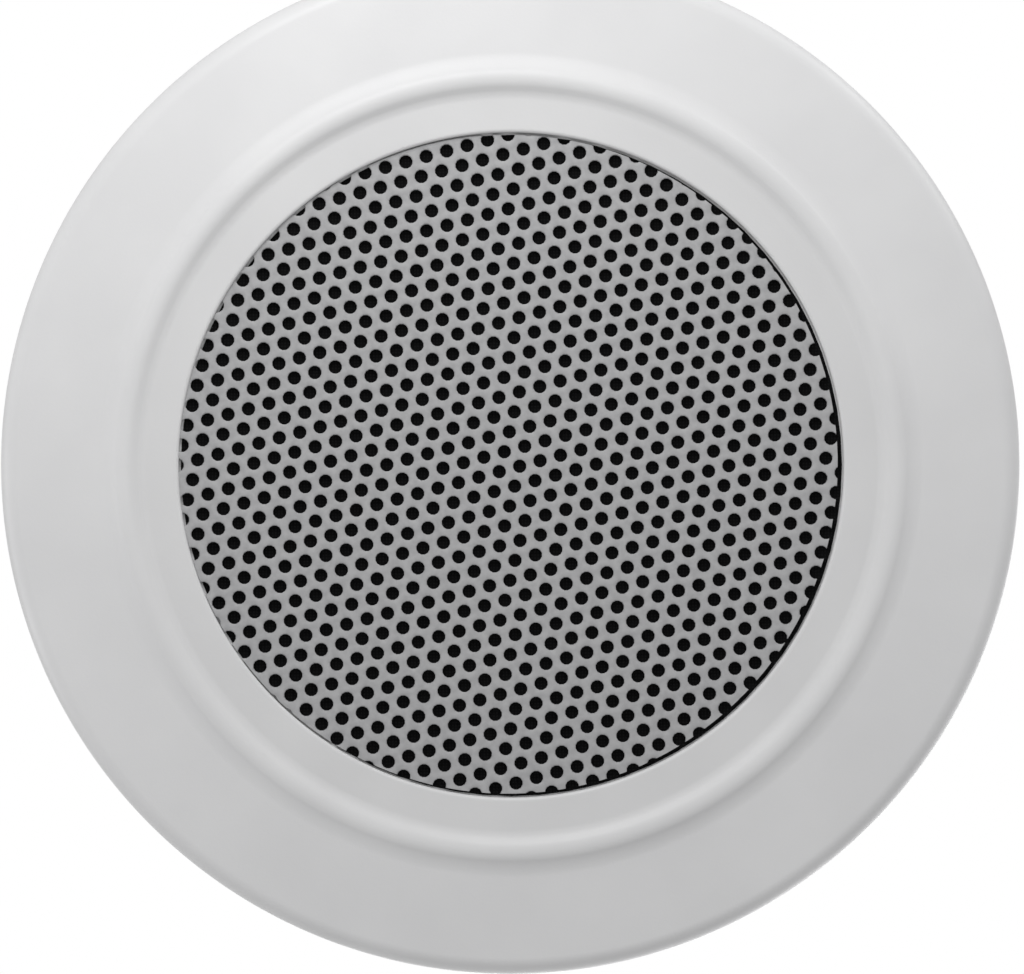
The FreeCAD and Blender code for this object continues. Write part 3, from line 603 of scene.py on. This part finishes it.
def half_round(bm, vert, end, steps, side):
    """Carries a section line on from a vertex, over a half circle, to the end (radius, height)."""
    middle = (vert.co + Vector((end[0], 0, end[1]))) / 2
    turned = bmesh.ops.spin(
        bm, geom=[vert], axis=(0, 1, 0), cent=middle, angle=side * math.pi, steps=steps
    )
    return verts_in(turned["geom_last"])[0]


def straight_on(bm, vert, end):
    """Carries a section line straight on to the end (radius, height)."""
    following = bm.verts.new((end[0], 0, end[1]))
    bm.edges.new((vert, following))
    return following


def sector_sheet(section, thickness, index):
    """One twelfth of a ring: the section line turned through its share and given its thickness."""
    share = 2 * math.pi / SECTORS
    turn = Matrix.Rotation((index - 0.5) * share, 4, "Z")
    bmesh.ops.transform(section, matrix=turn, verts=section.verts)
    bmesh.ops.spin(
        section,
        geom=list(section.verts) + list(section.edges),
        axis=(0, 0, 1),
        cent=(0, 0, 0),
        angle=share,
        steps=SECTOR_STEPS,
    )
    bmesh.ops.remove_doubles(section, verts=section.verts, dist=MERGE)
    bmesh.ops.recalc_face_normals(section, faces=section.faces)
    top = max(section.faces, key=lambda face: abs(face.normal.z))
    if top.normal.z < 0:
        bmesh.ops.reverse_faces(section, faces=section.faces)
    bmesh.ops.solidify(section, geom=list(section.faces), thickness=thickness)
    return section


def surround_line():
    """Section of the surround: outer land, roll towards the room, inner land."""
    line = bmesh.new()
    vert = straight_on(line, line.verts.new((LAND_OUTER, 0, RIM_Z)), (ROLL_OUTER, RIM_Z))
    vert = half_round(line, vert, (ROLL_INNER, RIM_Z), ROLL_STEPS, side=1)
    straight_on(line, vert, (LAND_INNER, RIM_Z))
    return line


def along(index, radius):
    """A place on the middle line of one twelfth, at a radius."""
    angle = 2 * math.pi * index / SECTORS
    return (radius * math.cos(angle), radius * math.sin(angle), 0)


rubber = uneven_material(
    "rubber", RUBBER_BLACK, RUBBER_DUST, rough=(0.48, 0.66), scales=(260, 2400), depth=0.00002
)
# The corners of a twelfth lie nearer the axis than its middle, when measured along its own radius.
edge_share = math.cos(math.pi / SECTORS)
for index in range(SECTORS):
    bend = ("housing", "cone_unit", along(index, ROLL_OUTER * edge_share), along(index, ROLL_INNER))
    sector = sector_sheet(surround_line(), RUBBER_THICKNESS, index)
    replaced = ["surround"] if index == 0 else []
    add_piece("surround_%02d" % (index + 1), sector, rubber, bend, "surround_rubber", *replaced)

# Cone and dust cap: pressed paper pulp, dyed black, with visible fibres.
# The cone is glued to the surround's inner land and to the voice coil; the cap is glued over the coil.
PULP_BLACK = (0.022, 0.022, 0.023, 1)
PULP_FIBRE = (0.060, 0.059, 0.058, 1)
pulp = uneven_material(
    "pulp", PULP_BLACK, PULP_FIBRE, rough=(0.75, 0.92), scales=(2200, 1500), depth=0.00012
)
dress(pulp, "cone", "dust_cap")

# Voice coil: a brown film tube that carries a layer of enamelled copper wire in the magnet's gap.
# The winding shows as fine even rings.
FILM_BROWN = (0.330, 0.150, 0.045, 1)
FILM_DARK = (0.250, 0.105, 0.030, 1)
COPPER_LIGHT = (0.780, 0.330, 0.150, 1)
COPPER_DARK = (0.420, 0.150, 0.060, 1)
WINDING_SCALE = 1250.0
BAND_CLOUDS, BAND_SPECKS = 140, 1800


def banded_metal(name, light, dark, scale, direction, depth, rough, distortion=0.0):
    """Metal with even bands: wound wire, or the marks that turning leaves on a plate."""
    material, tree, shader = start_material(name)
    bands = add_bands(tree, scale, direction, distortion)
    uneven = add_uneven(tree, cloud_scale=BAND_CLOUDS, speck_scale=BAND_SPECKS)
    link_colour(tree, shader, bands, dark, light, low=0.0, high=0.9)
    link_roughness(tree, shader, uneven.outputs["Cloud"], *rough)
    link_bump(tree, shader, bands, depth)
    shader.inputs["Metallic"].default_value = 1.0
    return material


film = uneven_material(
    "film", FILM_BROWN, FILM_DARK, rough=(0.30, 0.45), scales=(300, 1500), depth=0.00001
)
copper = banded_metal(
    "copper",
    COPPER_LIGHT,
    COPPER_DARK,
    scale=WINDING_SCALE,
    direction="Z",
    depth=0.0001,
    rough=(0.25, 0.40),
)
dress(film, "voice_coil_former")
dress(copper, "voice_coil_winding")

# Spider: a disc of resin-dipped cotton, pressed into waves, that keeps the coil in the middle.
# Its inner edge is glued to the film tube and its outer edge to the basket's shelf. Made in twelve
# parts, like the surround.
COTTON_LIGHT = (0.560, 0.330, 0.085, 1)
COTTON_DARK = (0.290, 0.145, 0.028, 1)
COTTON_THICKNESS = 0.0004
COTTON_SCALE = 420.0
SPIDER_Z = 0.0189
SPIDER_BORE = 0.01045
SPIDER_COLLAR_Z = 0.0200
WAVE_FIRST = 0.01185
WAVE_LAST = 0.02525
WAVES = 8
WAVE_STEPS = 6
SPIDER_EDGE = 0.03115


def spider_line():
    """Section of the spider: collar, flat, waves, outer land."""
    line = bmesh.new()
    start = line.verts.new((SPIDER_BORE, 0, SPIDER_COLLAR_Z))
    vert = straight_on(line, start, (SPIDER_BORE, SPIDER_Z))
    vert = straight_on(line, vert, (WAVE_FIRST, SPIDER_Z))
    step = (WAVE_LAST - WAVE_FIRST) / WAVES
    for index in range(WAVES):
        end = WAVE_FIRST + (index + 1) * step
        vert = half_round(line, vert, (end, SPIDER_Z), WAVE_STEPS, side=1 if index % 2 else -1)
    straight_on(line, vert, (SPIDER_EDGE, SPIDER_Z))
    return line


cotton = woven_material(
    "cotton", COTTON_LIGHT, COTTON_DARK, scale=COTTON_SCALE, depth=0.00015, rough=(0.60, 0.80)
)
for index in range(SECTORS):
    bend = ("housing", "cone_unit", along(index, WAVE_LAST * edge_share), along(index, WAVE_FIRST))
    sector = sector_sheet(spider_line(), COTTON_THICKNESS, index)
    replaced = ["spider"] if index == 0 else []
    add_piece("spider_%02d" % (index + 1), sector, cotton, bend, "spider_cloth", *replaced)

# Magnet system: a ground ferrite ring between two zinc-plated steel plates, with the pole in the
# back plate. The plates are turned, so fine rings show on them, and four rivets hold the basket.
FERRITE_DARK = (0.030, 0.030, 0.032, 1)
FERRITE_GREY = (0.062, 0.062, 0.065, 1)
ZINC_LIGHT = (0.66, 0.67, 0.69, 1)
ZINC_DULL = (0.47, 0.48, 0.50, 1)
ZINC_TURNED = (0.55, 0.56, 0.58, 1)
TURNING_SCALE = 800.0
ferrite = uneven_material(
    "ferrite", FERRITE_DARK, FERRITE_GREY, rough=(0.50, 0.72), scales=(180, 2600), depth=0.00005
)
turned_zinc = banded_metal(
    "turned_zinc",
    ZINC_LIGHT,
    ZINC_TURNED,
    scale=TURNING_SCALE,
    direction="ROUND",
    depth=0.00001,
    rough=(0.38, 0.52),
    distortion=0.6,
)
zinc = uneven_material(
    "zinc", ZINC_LIGHT, ZINC_DULL,
    rough=(0.26, 0.46), scales=(220, 1600), depth=0.00001, metallic=1.0,
)
dress(ferrite, "magnet")
dress(turned_zinc, "top_plate", "yoke")
dress(zinc, "magnet_rivets")

# Terminals: two brass tabs riveted to a strip of brown fibre board, which a third rivet holds to a
# leg of the basket.
FIBRE_BROWN = (0.150, 0.062, 0.026, 1)
FIBRE_DARK = (0.095, 0.038, 0.016, 1)
BRASS_LIGHT = (0.70, 0.58, 0.34, 1)
BRASS_DULL = (0.50, 0.40, 0.22, 1)
fibre = uneven_material(
    "fibre", FIBRE_BROWN, FIBRE_DARK, rough=(0.60, 0.78), scales=(900, 2200), depth=0.00004
)
brass = uneven_material(
    "brass", BRASS_LIGHT, BRASS_DULL,
    rough=(0.25, 0.45), scales=(400, 1500), depth=0.00001, metallic=1.0,
)
dress(fibre, "terminal_board")
dress(brass, "terminal_positive", "terminal_negative", "terminal_rivets")

# Tinsel leads: bare copper braids that bring the signal from the tabs to the moving cone.
# Each hangs in a loose arch from under its tab to the back of the cone, twisted from four strands.
LEAD_STEPS = 30
LEAD_STRANDS = 4
LEAD_TWISTS = 7
STRAND_OFFSET = 0.28
STRAND_RADIUS = 0.22
STRAND_ROUNDING = 2
TINSEL_LIGHT = (0.760, 0.400, 0.220, 1)
TINSEL_DULL = (0.520, 0.240, 0.120, 1)
# Places of a lead's middle line, in mm: under the tab, two bends above, on the cone.
LEAD_PLACES = ((6.0, 38.04, 12.72), (5.7, 33.23, 15.87), (5.28, 26.49, 15.50), (5.0, 22.0, 11.86))


def lead_path(side):
    """Middle line of a lead: up from its tab, over, and down to the cone."""
    places = [Vector((side * x, y, z)) * MM for x, y, z in LEAD_PLACES]
    middle = (places[1] + places[2]) / 2
    path = []
    for start, bend, end in ((places[0], places[1], middle), (middle, places[2], places[3])):
        for step in range(LEAD_STEPS):
            share = step / LEAD_STEPS
            path.append(start.lerp(bend, share).lerp(bend.lerp(end, share), share))
    return path + [places[3]]


def build_lead(path):
    """Strands twisted round the lead's middle line."""
    strands = bpy.data.curves.new("lead_strands", "CURVE")
    strands.dimensions = "3D"
    strands.bevel_depth = STRAND_RADIUS * MM
    strands.bevel_resolution = STRAND_ROUNDING
    strands.use_fill_caps = True
    for strand in range(LEAD_STRANDS):
        spline = strands.splines.new("POLY")
        spline.points.add(len(path) - 1)
        for index, place in enumerate(path):
            onwards = path[min(index + 1, len(path) - 1)] - path[max(index - 1, 0)]
            across = onwards.cross(Vector((1, 0, 0))).normalized()
            angle = 2 * math.pi * (strand / LEAD_STRANDS + LEAD_TWISTS * index / len(path))
            offset = Matrix.Rotation(angle, 3, onwards) @ across * STRAND_OFFSET * MM
            spline.points[index].co = (*(place + offset), 1)
    holder = bpy.data.objects.new("lead_strands", strands)
    mesh = bpy.data.meshes.new_from_object(holder)
    lead = bmesh.new()
    lead.from_mesh(mesh)
    bpy.data.meshes.remove(mesh)
    bpy.data.objects.remove(holder)
    bpy.data.curves.remove(strands)
    return lead


tinsel = uneven_material(
    "tinsel", TINSEL_LIGHT, TINSEL_DULL,
    rough=(0.28, 0.46), scales=(900, 2600), depth=0.00002, metallic=1.0,
)
for name, side in (("positive", 1), ("negative", -1)):
    path = lead_path(side)
    bend = ("housing", "cone_unit", path[0], path[-1])
    add_piece("lead_" + name, build_lead(path), tinsel, bend, "tinsel", "tinsel_lead_" + name)

# Driver screws: zinc-plated pan-head screws with a cross recess, through the driver's rim into the
# bosses of the bezel. The four beside the clips also hold the brackets.
HEAD_STEPS = 32
HEAD_TOP = 2.0
TOP_FROM = HEAD_TOP - 0.01
# Corners of a screw's section: radius and height above its seat, in mm.
HEAD_CORNERS = (
    (0.0, HEAD_TOP), (1.55, HEAD_TOP), (2.15, 1.82), (2.6, 1.42), (2.8, 0.85), (2.8, 0.0), (1.45, 0.0),
)
SHANK_END = ((1.45, -6.7), (0.9, -7.5), (0.0, -7.5))
RECESS_ARM, RECESS_HALF = 1.4, 0.27
RECESS_DEPTH = 1.1
RECESS_TAPER = 0.55
RIM_TOP, FOOT_TOP = 6.5, 7.7
CLIP_SPREAD = math.radians(60)
SCREW_FIRST_TURN, SCREW_TURN_GROWTH = 0.3, 0.7


def cut_lines(bm, places):
    """Cuts the flat top of a head along straight lines."""
    for axis in ((1, 0, 0), (0, 1, 0)):
        for place in places:
            top = [face for face in bm.faces if min(vert.co.z for vert in face.verts) > TOP_FROM * MM]
            geom = top + list(dict.fromkeys(edge for face in top for edge in face.edges))
            geom += list(dict.fromkeys(vert for face in top for vert in face.verts))
            bmesh.ops.bisect_plane(bm, geom=geom, plane_co=Vector(axis) * place * MM, plane_no=axis)


def in_recess(face):
    """Whether a part of the top lies in one of the two crossing slots."""
    middle = face.calc_center_median()
    short, long = sorted((abs(middle.x), abs(middle.y)))
    return middle.z > TOP_FROM * MM and short < RECESS_HALF * MM and long < RECESS_ARM * MM


def build_screw():
    """A turned head and shank, with the cross pressed into the head."""
    corners = [(radius * MM, height * MM) for radius, height in HEAD_CORNERS + SHANK_END]
    screw = spun_ring(corners, HEAD_STEPS, closed=False)
    bmesh.ops.remove_doubles(screw, verts=screw.verts, dist=MERGE)
    cut_lines(screw, (-RECESS_ARM, -RECESS_HALF, RECESS_HALF, RECESS_ARM))
    cross = [face for face in screw.faces if in_recess(face)]
    pressed = bmesh.ops.extrude_face_region(screw, geom=cross)
    floor_verts = verts_in(pressed["geom"])
    left_on_top = [
        face
        for face in screw.faces
        if in_recess(face) and not all(vert in floor_verts for vert in face.verts)
    ]
    bmesh.ops.delete(screw, geom=left_on_top, context="FACES_ONLY")
    bmesh.ops.translate(screw, vec=(0, 0, -RECESS_DEPTH * MM), verts=floor_verts)
    bmesh.ops.scale(screw, vec=(RECESS_TAPER, RECESS_TAPER, 1), verts=floor_verts)
    mesh = bpy.data.meshes.new("screw")
    screw.to_mesh(mesh)
    screw.free()
    return mesh


def build_screws():
    """Every screw, each turned to its own angle."""
    screws = bmesh.new()
    for index in range(SCREWS):
        screw = build_screw()
        angle = (index + 0.5) * 2 * math.pi / SCREWS
        top = FOOT_TOP if abs(math.cos(angle)) > math.cos(CLIP_SPREAD) else RIM_TOP
        place = Vector((SCREW_CIRCLE * math.cos(angle), SCREW_CIRCLE * math.sin(angle), top)) * MM
        turn = Matrix.Rotation(SCREW_TURN_GROWTH * index * index + SCREW_FIRST_TURN, 4, "Z")
        screw.transform(Matrix.Translation(place) @ turn)
        screws.from_mesh(screw)
        bpy.data.meshes.remove(screw)
    return screws


add_piece("pan_head_screws", build_screws(), zinc, "housing", "zinc_steel", "driver_screws", smooth=35)

# Clip brackets and pins: bent zinc-plated sheet under the screws, and the headed pin that each
# clip's coils turn on, peened over at its far end.
dress(zinc, "clip_bracket_right", "clip_bracket_left", "clip_pin_right", "clip_pin_left")

# Wire clips: bright spring wire, coiled on the pin at both sides, with a loop that grips the ceiling.
# Each half is one length of wire: a tail that pushes on the bracket's wall, the coil and the arm. The
# coil winds up as the clip turns.
WIRE_RADIUS = 0.00079
WIRE_SIDES = 12
COIL_RADIUS = 0.0030
COIL_PITCH = 0.001585
COIL_STEPS = 64
COIL_TURNS = 2
# Places along the pin between which the coil takes up the turn of the clip.
TWIST_ENDS = (0.0097, 0.0069)
TAIL_LEAN = math.radians(9)
TAIL_LENGTH = 0.00285
ARM_SIDE = 0.00647
ARM_BEND = 0.0025
ARM_BEND_STEPS = 8
SLEEVE_CLEARANCE = 0.00003
SLEEVE_SIDES = 28
SPRING_LIGHT = (0.60, 0.61, 0.63, 1)
SPRING_DULL = (0.44, 0.45, 0.47, 1)
hinge = next(Vector(joint["pos_m"]) for joint in frame["joints"] if joint["name"] == "clip_right")
sleeve_low, sleeve_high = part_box("clip_sleeve_right")
loop_place = (sleeve_low + sleeve_high) / 2
reach = loop_place - hinge
arm_angle = math.atan2(reach.z, reach.x) + math.asin(COIL_RADIUS / reach.length)


def last_ring(result, key="geom_last"):
    """The open ring of wire that a step ends with."""
    return verts_in(result[key]) + edges_in(result[key])


def wire_on(bm, ring, vec):
    """Carries a wire straight on."""
    step = bmesh.ops.extrude_edge_only(bm, edges=edges_in(ring))
    ring = last_ring(step, "geom")
    bmesh.ops.translate(bm, vec=vec, verts=verts_in(ring))
    return ring


def build_wire_half():
    """Half of the right clip: tail, coil, arm and half of the loop."""
    wire = bmesh.new()
    first = math.pi + TAIL_LEAN
    total = COIL_TURNS * 2 * math.pi + arm_angle - math.pi / 2 + 2 * math.pi - first
    far_side = ARM_SIDE + COIL_PITCH * total / (2 * math.pi)
    start = hinge + Vector((COIL_RADIUS * math.cos(first), far_side, COIL_RADIUS * math.sin(first)))
    tail = Vector((math.sin(first), 0, -math.cos(first))) * TAIL_LENGTH
    place = Matrix.Translation(start + tail) @ Matrix.Rotation(-TAIL_LEAN, 4, "Y")
    circle = bmesh.ops.create_circle(
        wire, cap_ends=True, segments=WIRE_SIDES, radius=WIRE_RADIUS, matrix=place
    )
    ring = wire_on(wire, edges_at(circle["verts"]), -tail)
    coil = bmesh.ops.spin(
        wire,
        geom=ring,
        axis=(0, -1, 0),
        cent=hinge,
        angle=total,
        steps=COIL_STEPS,
        dvec=(0, (ARM_SIDE - far_side) / COIL_STEPS, 0),
    )
    along_arm = Vector((math.cos(arm_angle), 0, math.sin(arm_angle)))
    arm_start = hinge + Vector((math.sin(arm_angle), 0, -math.cos(arm_angle))) * COIL_RADIUS
    arm_length = (loop_place - arm_start).dot(along_arm) - ARM_BEND
    ring = wire_on(wire, last_ring(coil), along_arm * arm_length)
    corner = arm_start + along_arm * arm_length + Vector((0, ARM_SIDE - ARM_BEND, 0))
    bend = bmesh.ops.spin(
        wire,
        geom=ring,
        axis=along_arm.cross(Vector((0, -1, 0))),
        cent=corner,
        angle=math.pi / 2,
        steps=ARM_BEND_STEPS,
    )
    ring = wire_on(wire, last_ring(bend), Vector((0, ARM_BEND - ARM_SIDE, 0)))
    bmesh.ops.holes_fill(wire, edges=edges_in(ring))
    return wire


def build_sleeve():
    """A soft tube with rounded ends, lying across the loop."""
    half = (sleeve_high.y - sleeve_low.y) / 2
    outer = (sleeve_high.x - sleeve_low.x) / 2
    inner = WIRE_RADIUS + SLEEVE_CLEARANCE
    soft = (outer - inner) / 3
    section = [(inner, -half), (outer - soft, -half), (outer, soft - half)]
    section += [(outer, half - soft), (outer - soft, half), (inner, half)]
    sleeve = spun_ring(section, SLEEVE_SIDES)
    across = Matrix.Rotation(math.pi / 2, 3, "X")
    bmesh.ops.rotate(sleeve, cent=(0, 0, 0), matrix=across, verts=sleeve.verts)
    bmesh.ops.translate(sleeve, vec=loop_place, verts=sleeve.verts)
    return sleeve


spring_steel = uneven_material(
    "spring_steel", SPRING_LIGHT, SPRING_DULL,
    rough=(0.20, 0.34), scales=(350, 2200), depth=0.00001, metallic=1.0,
)
vinyl = uneven_material(
    "vinyl", RUBBER_BLACK, RUBBER_DUST, rough=(0.40, 0.58), scales=(500, 2200), depth=0.00002
)
for name, turn in (("right", Matrix.Identity(4)), ("left", Matrix.Rotation(math.pi, 4, "Z"))):
    for half, mirror in (("a", 1), ("b", -1)):
        wire = build_wire_half()
        place = turn @ Matrix.Diagonal((1, mirror, 1, 1))
        bmesh.ops.transform(wire, matrix=place, verts=wire.verts)
        ends = [place @ Vector((hinge.x, side, hinge.z)) for side in TWIST_ENDS]
        twist = ("housing", "clip_" + name, *ends)
        replaced = ["clip_spring_" + name] if half == "a" else []
        wire_name = "clip_wire_%s_%s" % (name, half)
        add_piece(wire_name, wire, spring_steel, twist, "spring_steel", *replaced)
    sleeve = build_sleeve()
    bmesh.ops.transform(sleeve, matrix=turn, verts=sleeve.verts)
    add_piece("soft_sleeve_" + name, sleeve, vinyl, "clip_" + name, "soft_sleeve", "clip_sleeve_" + name)

# Floor: a wide pale floor far below the ceiling, under the camera. It is painted plain and dull,
# and it is no part of the speaker.
FLOOR_Z = -1.3
FLOOR_SIZE = 12.0
FLOOR_COLOUR = (0.84, 0.84, 0.84, 1)
FLOOR_ROUGHNESS = 0.8
floor_mesh = bmesh.new()
floor_place = Matrix.Translation((0, 0, FLOOR_Z))
bmesh.ops.create_grid(floor_mesh, x_segments=1, y_segments=1, size=FLOOR_SIZE, matrix=floor_place)
floor_data = bpy.data.meshes.new("floor")
floor_mesh.to_mesh(floor_data)
floor_mesh.free()
floor = bpy.data.objects.new("floor", floor_data)
bpy.context.scene.collection.objects.link(floor)
floor_material, _, floor_shader = start_material("floor_paint")
floor_shader.inputs["Base Color"].default_value = FLOOR_COLOUR
floor_shader.inputs["Roughness"].default_value = FLOOR_ROUGHNESS
floor_data.materials.append(floor_material)

# Light: an even pale room, a soft lamp near the face on the side that the photograph is lit from, a
# wide lamp straight below it, two low lamps that catch its edges and one above for the back. The
# camera, and what shines, see the room as plain white.
ROOM_LEVEL = 0.48
LAMP_AIM = Vector((-0.22, -0.98, 0)).normalized()
LAMP_TILT = math.radians(48)
LAMP_DISTANCE = 0.25
LAMP_SIZE = 0.10
LAMP_POWER = 0.29
FRONT_LAMP_PLACE = Vector((0, 0, -1.1))
FRONT_LAMP_SIZE = 0.8
FRONT_LAMP_POWER = 1.65
SIDE_LAMP_TURNS = (math.radians(167), math.radians(-42))
SIDE_LAMP_DISTANCE = 0.6
SIDE_LAMP_LOW = 0.02
SIDE_LAMP_SIZE = 0.25
SIDE_LAMP_POWER = 0.75
BACK_LAMP_PLACE = Vector((0.35, 0.45, 0.65))
BACK_LAMP_SIZE = 0.9
BACK_LAMP_POWER = 3.6
world = bpy.data.worlds.new("room")
world.use_nodes = True
bpy.context.scene.world = world
room_nodes, room_links = world.node_tree.nodes, world.node_tree.links
room_nodes.clear()
ray = room_nodes.new("ShaderNodeLightPath")
seen = room_nodes.new("ShaderNodeMath")
seen.operation = "MAXIMUM"
room_links.new(ray.outputs["Is Camera Ray"], seen.inputs[0])
room_links.new(ray.outputs["Is Glossy Ray"], seen.inputs[1])
seen_through = room_nodes.new("ShaderNodeMath")
seen_through.operation = "MAXIMUM"
room_links.new(seen.outputs["Value"], seen_through.inputs[0])
room_links.new(ray.outputs["Is Transmission Ray"], seen_through.inputs[1])
level = room_nodes.new("ShaderNodeMapRange")
level.inputs["To Min"].default_value = ROOM_LEVEL
level.inputs["To Max"].default_value = 1.0
room_links.new(seen_through.outputs["Value"], level.inputs["Value"])
background = room_nodes.new("ShaderNodeBackground")
background.inputs["Color"].default_value = (1, 1, 1, 1)
room_links.new(level.outputs["Result"], background.inputs["Strength"])
room_output = room_nodes.new("ShaderNodeOutputWorld")
room_links.new(background.outputs["Background"], room_output.inputs["Surface"])


def add_lamp(name, place, size, power):
    """A square soft lamp that looks at the middle of the object."""
    light = bpy.data.lights.new(name, "AREA")
    light.size = size
    light.energy = power
    lamp = bpy.data.objects.new(name, light)
    lamp.location = place
    lamp.visible_camera = False
    lamp.rotation_euler = (-place).to_track_quat("-Z", "Y").to_euler()
    bpy.context.scene.collection.objects.link(lamp)


face_lamp = LAMP_AIM * math.sin(LAMP_TILT) - Vector((0, 0, 1)) * math.cos(LAMP_TILT)
add_lamp("face_lamp", face_lamp * LAMP_DISTANCE, LAMP_SIZE, LAMP_POWER)
add_lamp("front_lamp", FRONT_LAMP_PLACE, FRONT_LAMP_SIZE, FRONT_LAMP_POWER)
for name, turn in zip(("left_lamp", "right_lamp"), SIDE_LAMP_TURNS):
    outward = Vector((math.cos(turn), math.sin(turn), 0))
    place = outward * SIDE_LAMP_DISTANCE - Vector((0, 0, SIDE_LAMP_LOW))
    add_lamp(name, place, SIDE_LAMP_SIZE, SIDE_LAMP_POWER)
add_lamp("back_lamp", BACK_LAMP_PLACE, BACK_LAMP_SIZE, BACK_LAMP_POWER)
bpy.context.scene.view_settings.view_transform = "Standard"

# Camera: below the speaker, looking up almost straight at its face, a little from the upper left.
# The scale comes from the flange, whose radius is known in metres and in pixels of the picture.
CAMERA_DISTANCE = 0.80
CAMERA_LEFT = math.radians(1.0)
CAMERA_HIGH = math.radians(0.6)
FLANGE_RADIUS = 0.0725
FLANGE_PIXELS = 509.0
PIXEL = FLANGE_RADIUS / FLANGE_PIXELS
AIM_RIGHT, AIM_DOWN = 1.0, 22.0
AIM = Vector((AIM_RIGHT * PIXEL, AIM_DOWN * PIXEL, 0))
PICTURE_WIDTH = 1024
SENSOR_WIDTH = 36.0
NEAREST, FARTHEST = 0.01, 20.0
camera_data = bpy.data.cameras.new("camera")
camera = bpy.data.objects.new("camera", camera_data)
bpy.context.scene.collection.objects.link(camera)
offset = Vector((-math.tan(CAMERA_LEFT), -math.tan(CAMERA_HIGH), -1)) * CAMERA_DISTANCE
camera.location = AIM + offset
forward = (-offset).normalized()
right = forward.cross(Vector((0, -1, 0))).normalized()
up = right.cross(forward)
camera.rotation_euler = Matrix((right, up, -forward)).transposed().to_euler()
camera_data.sensor_width = SENSOR_WIDTH
camera_data.lens = SENSOR_WIDTH * offset.length / (PICTURE_WIDTH * PIXEL)
camera_data.clip_start = NEAREST
camera_data.clip_end = FARTHEST
bpy.context.scene.camera = camera
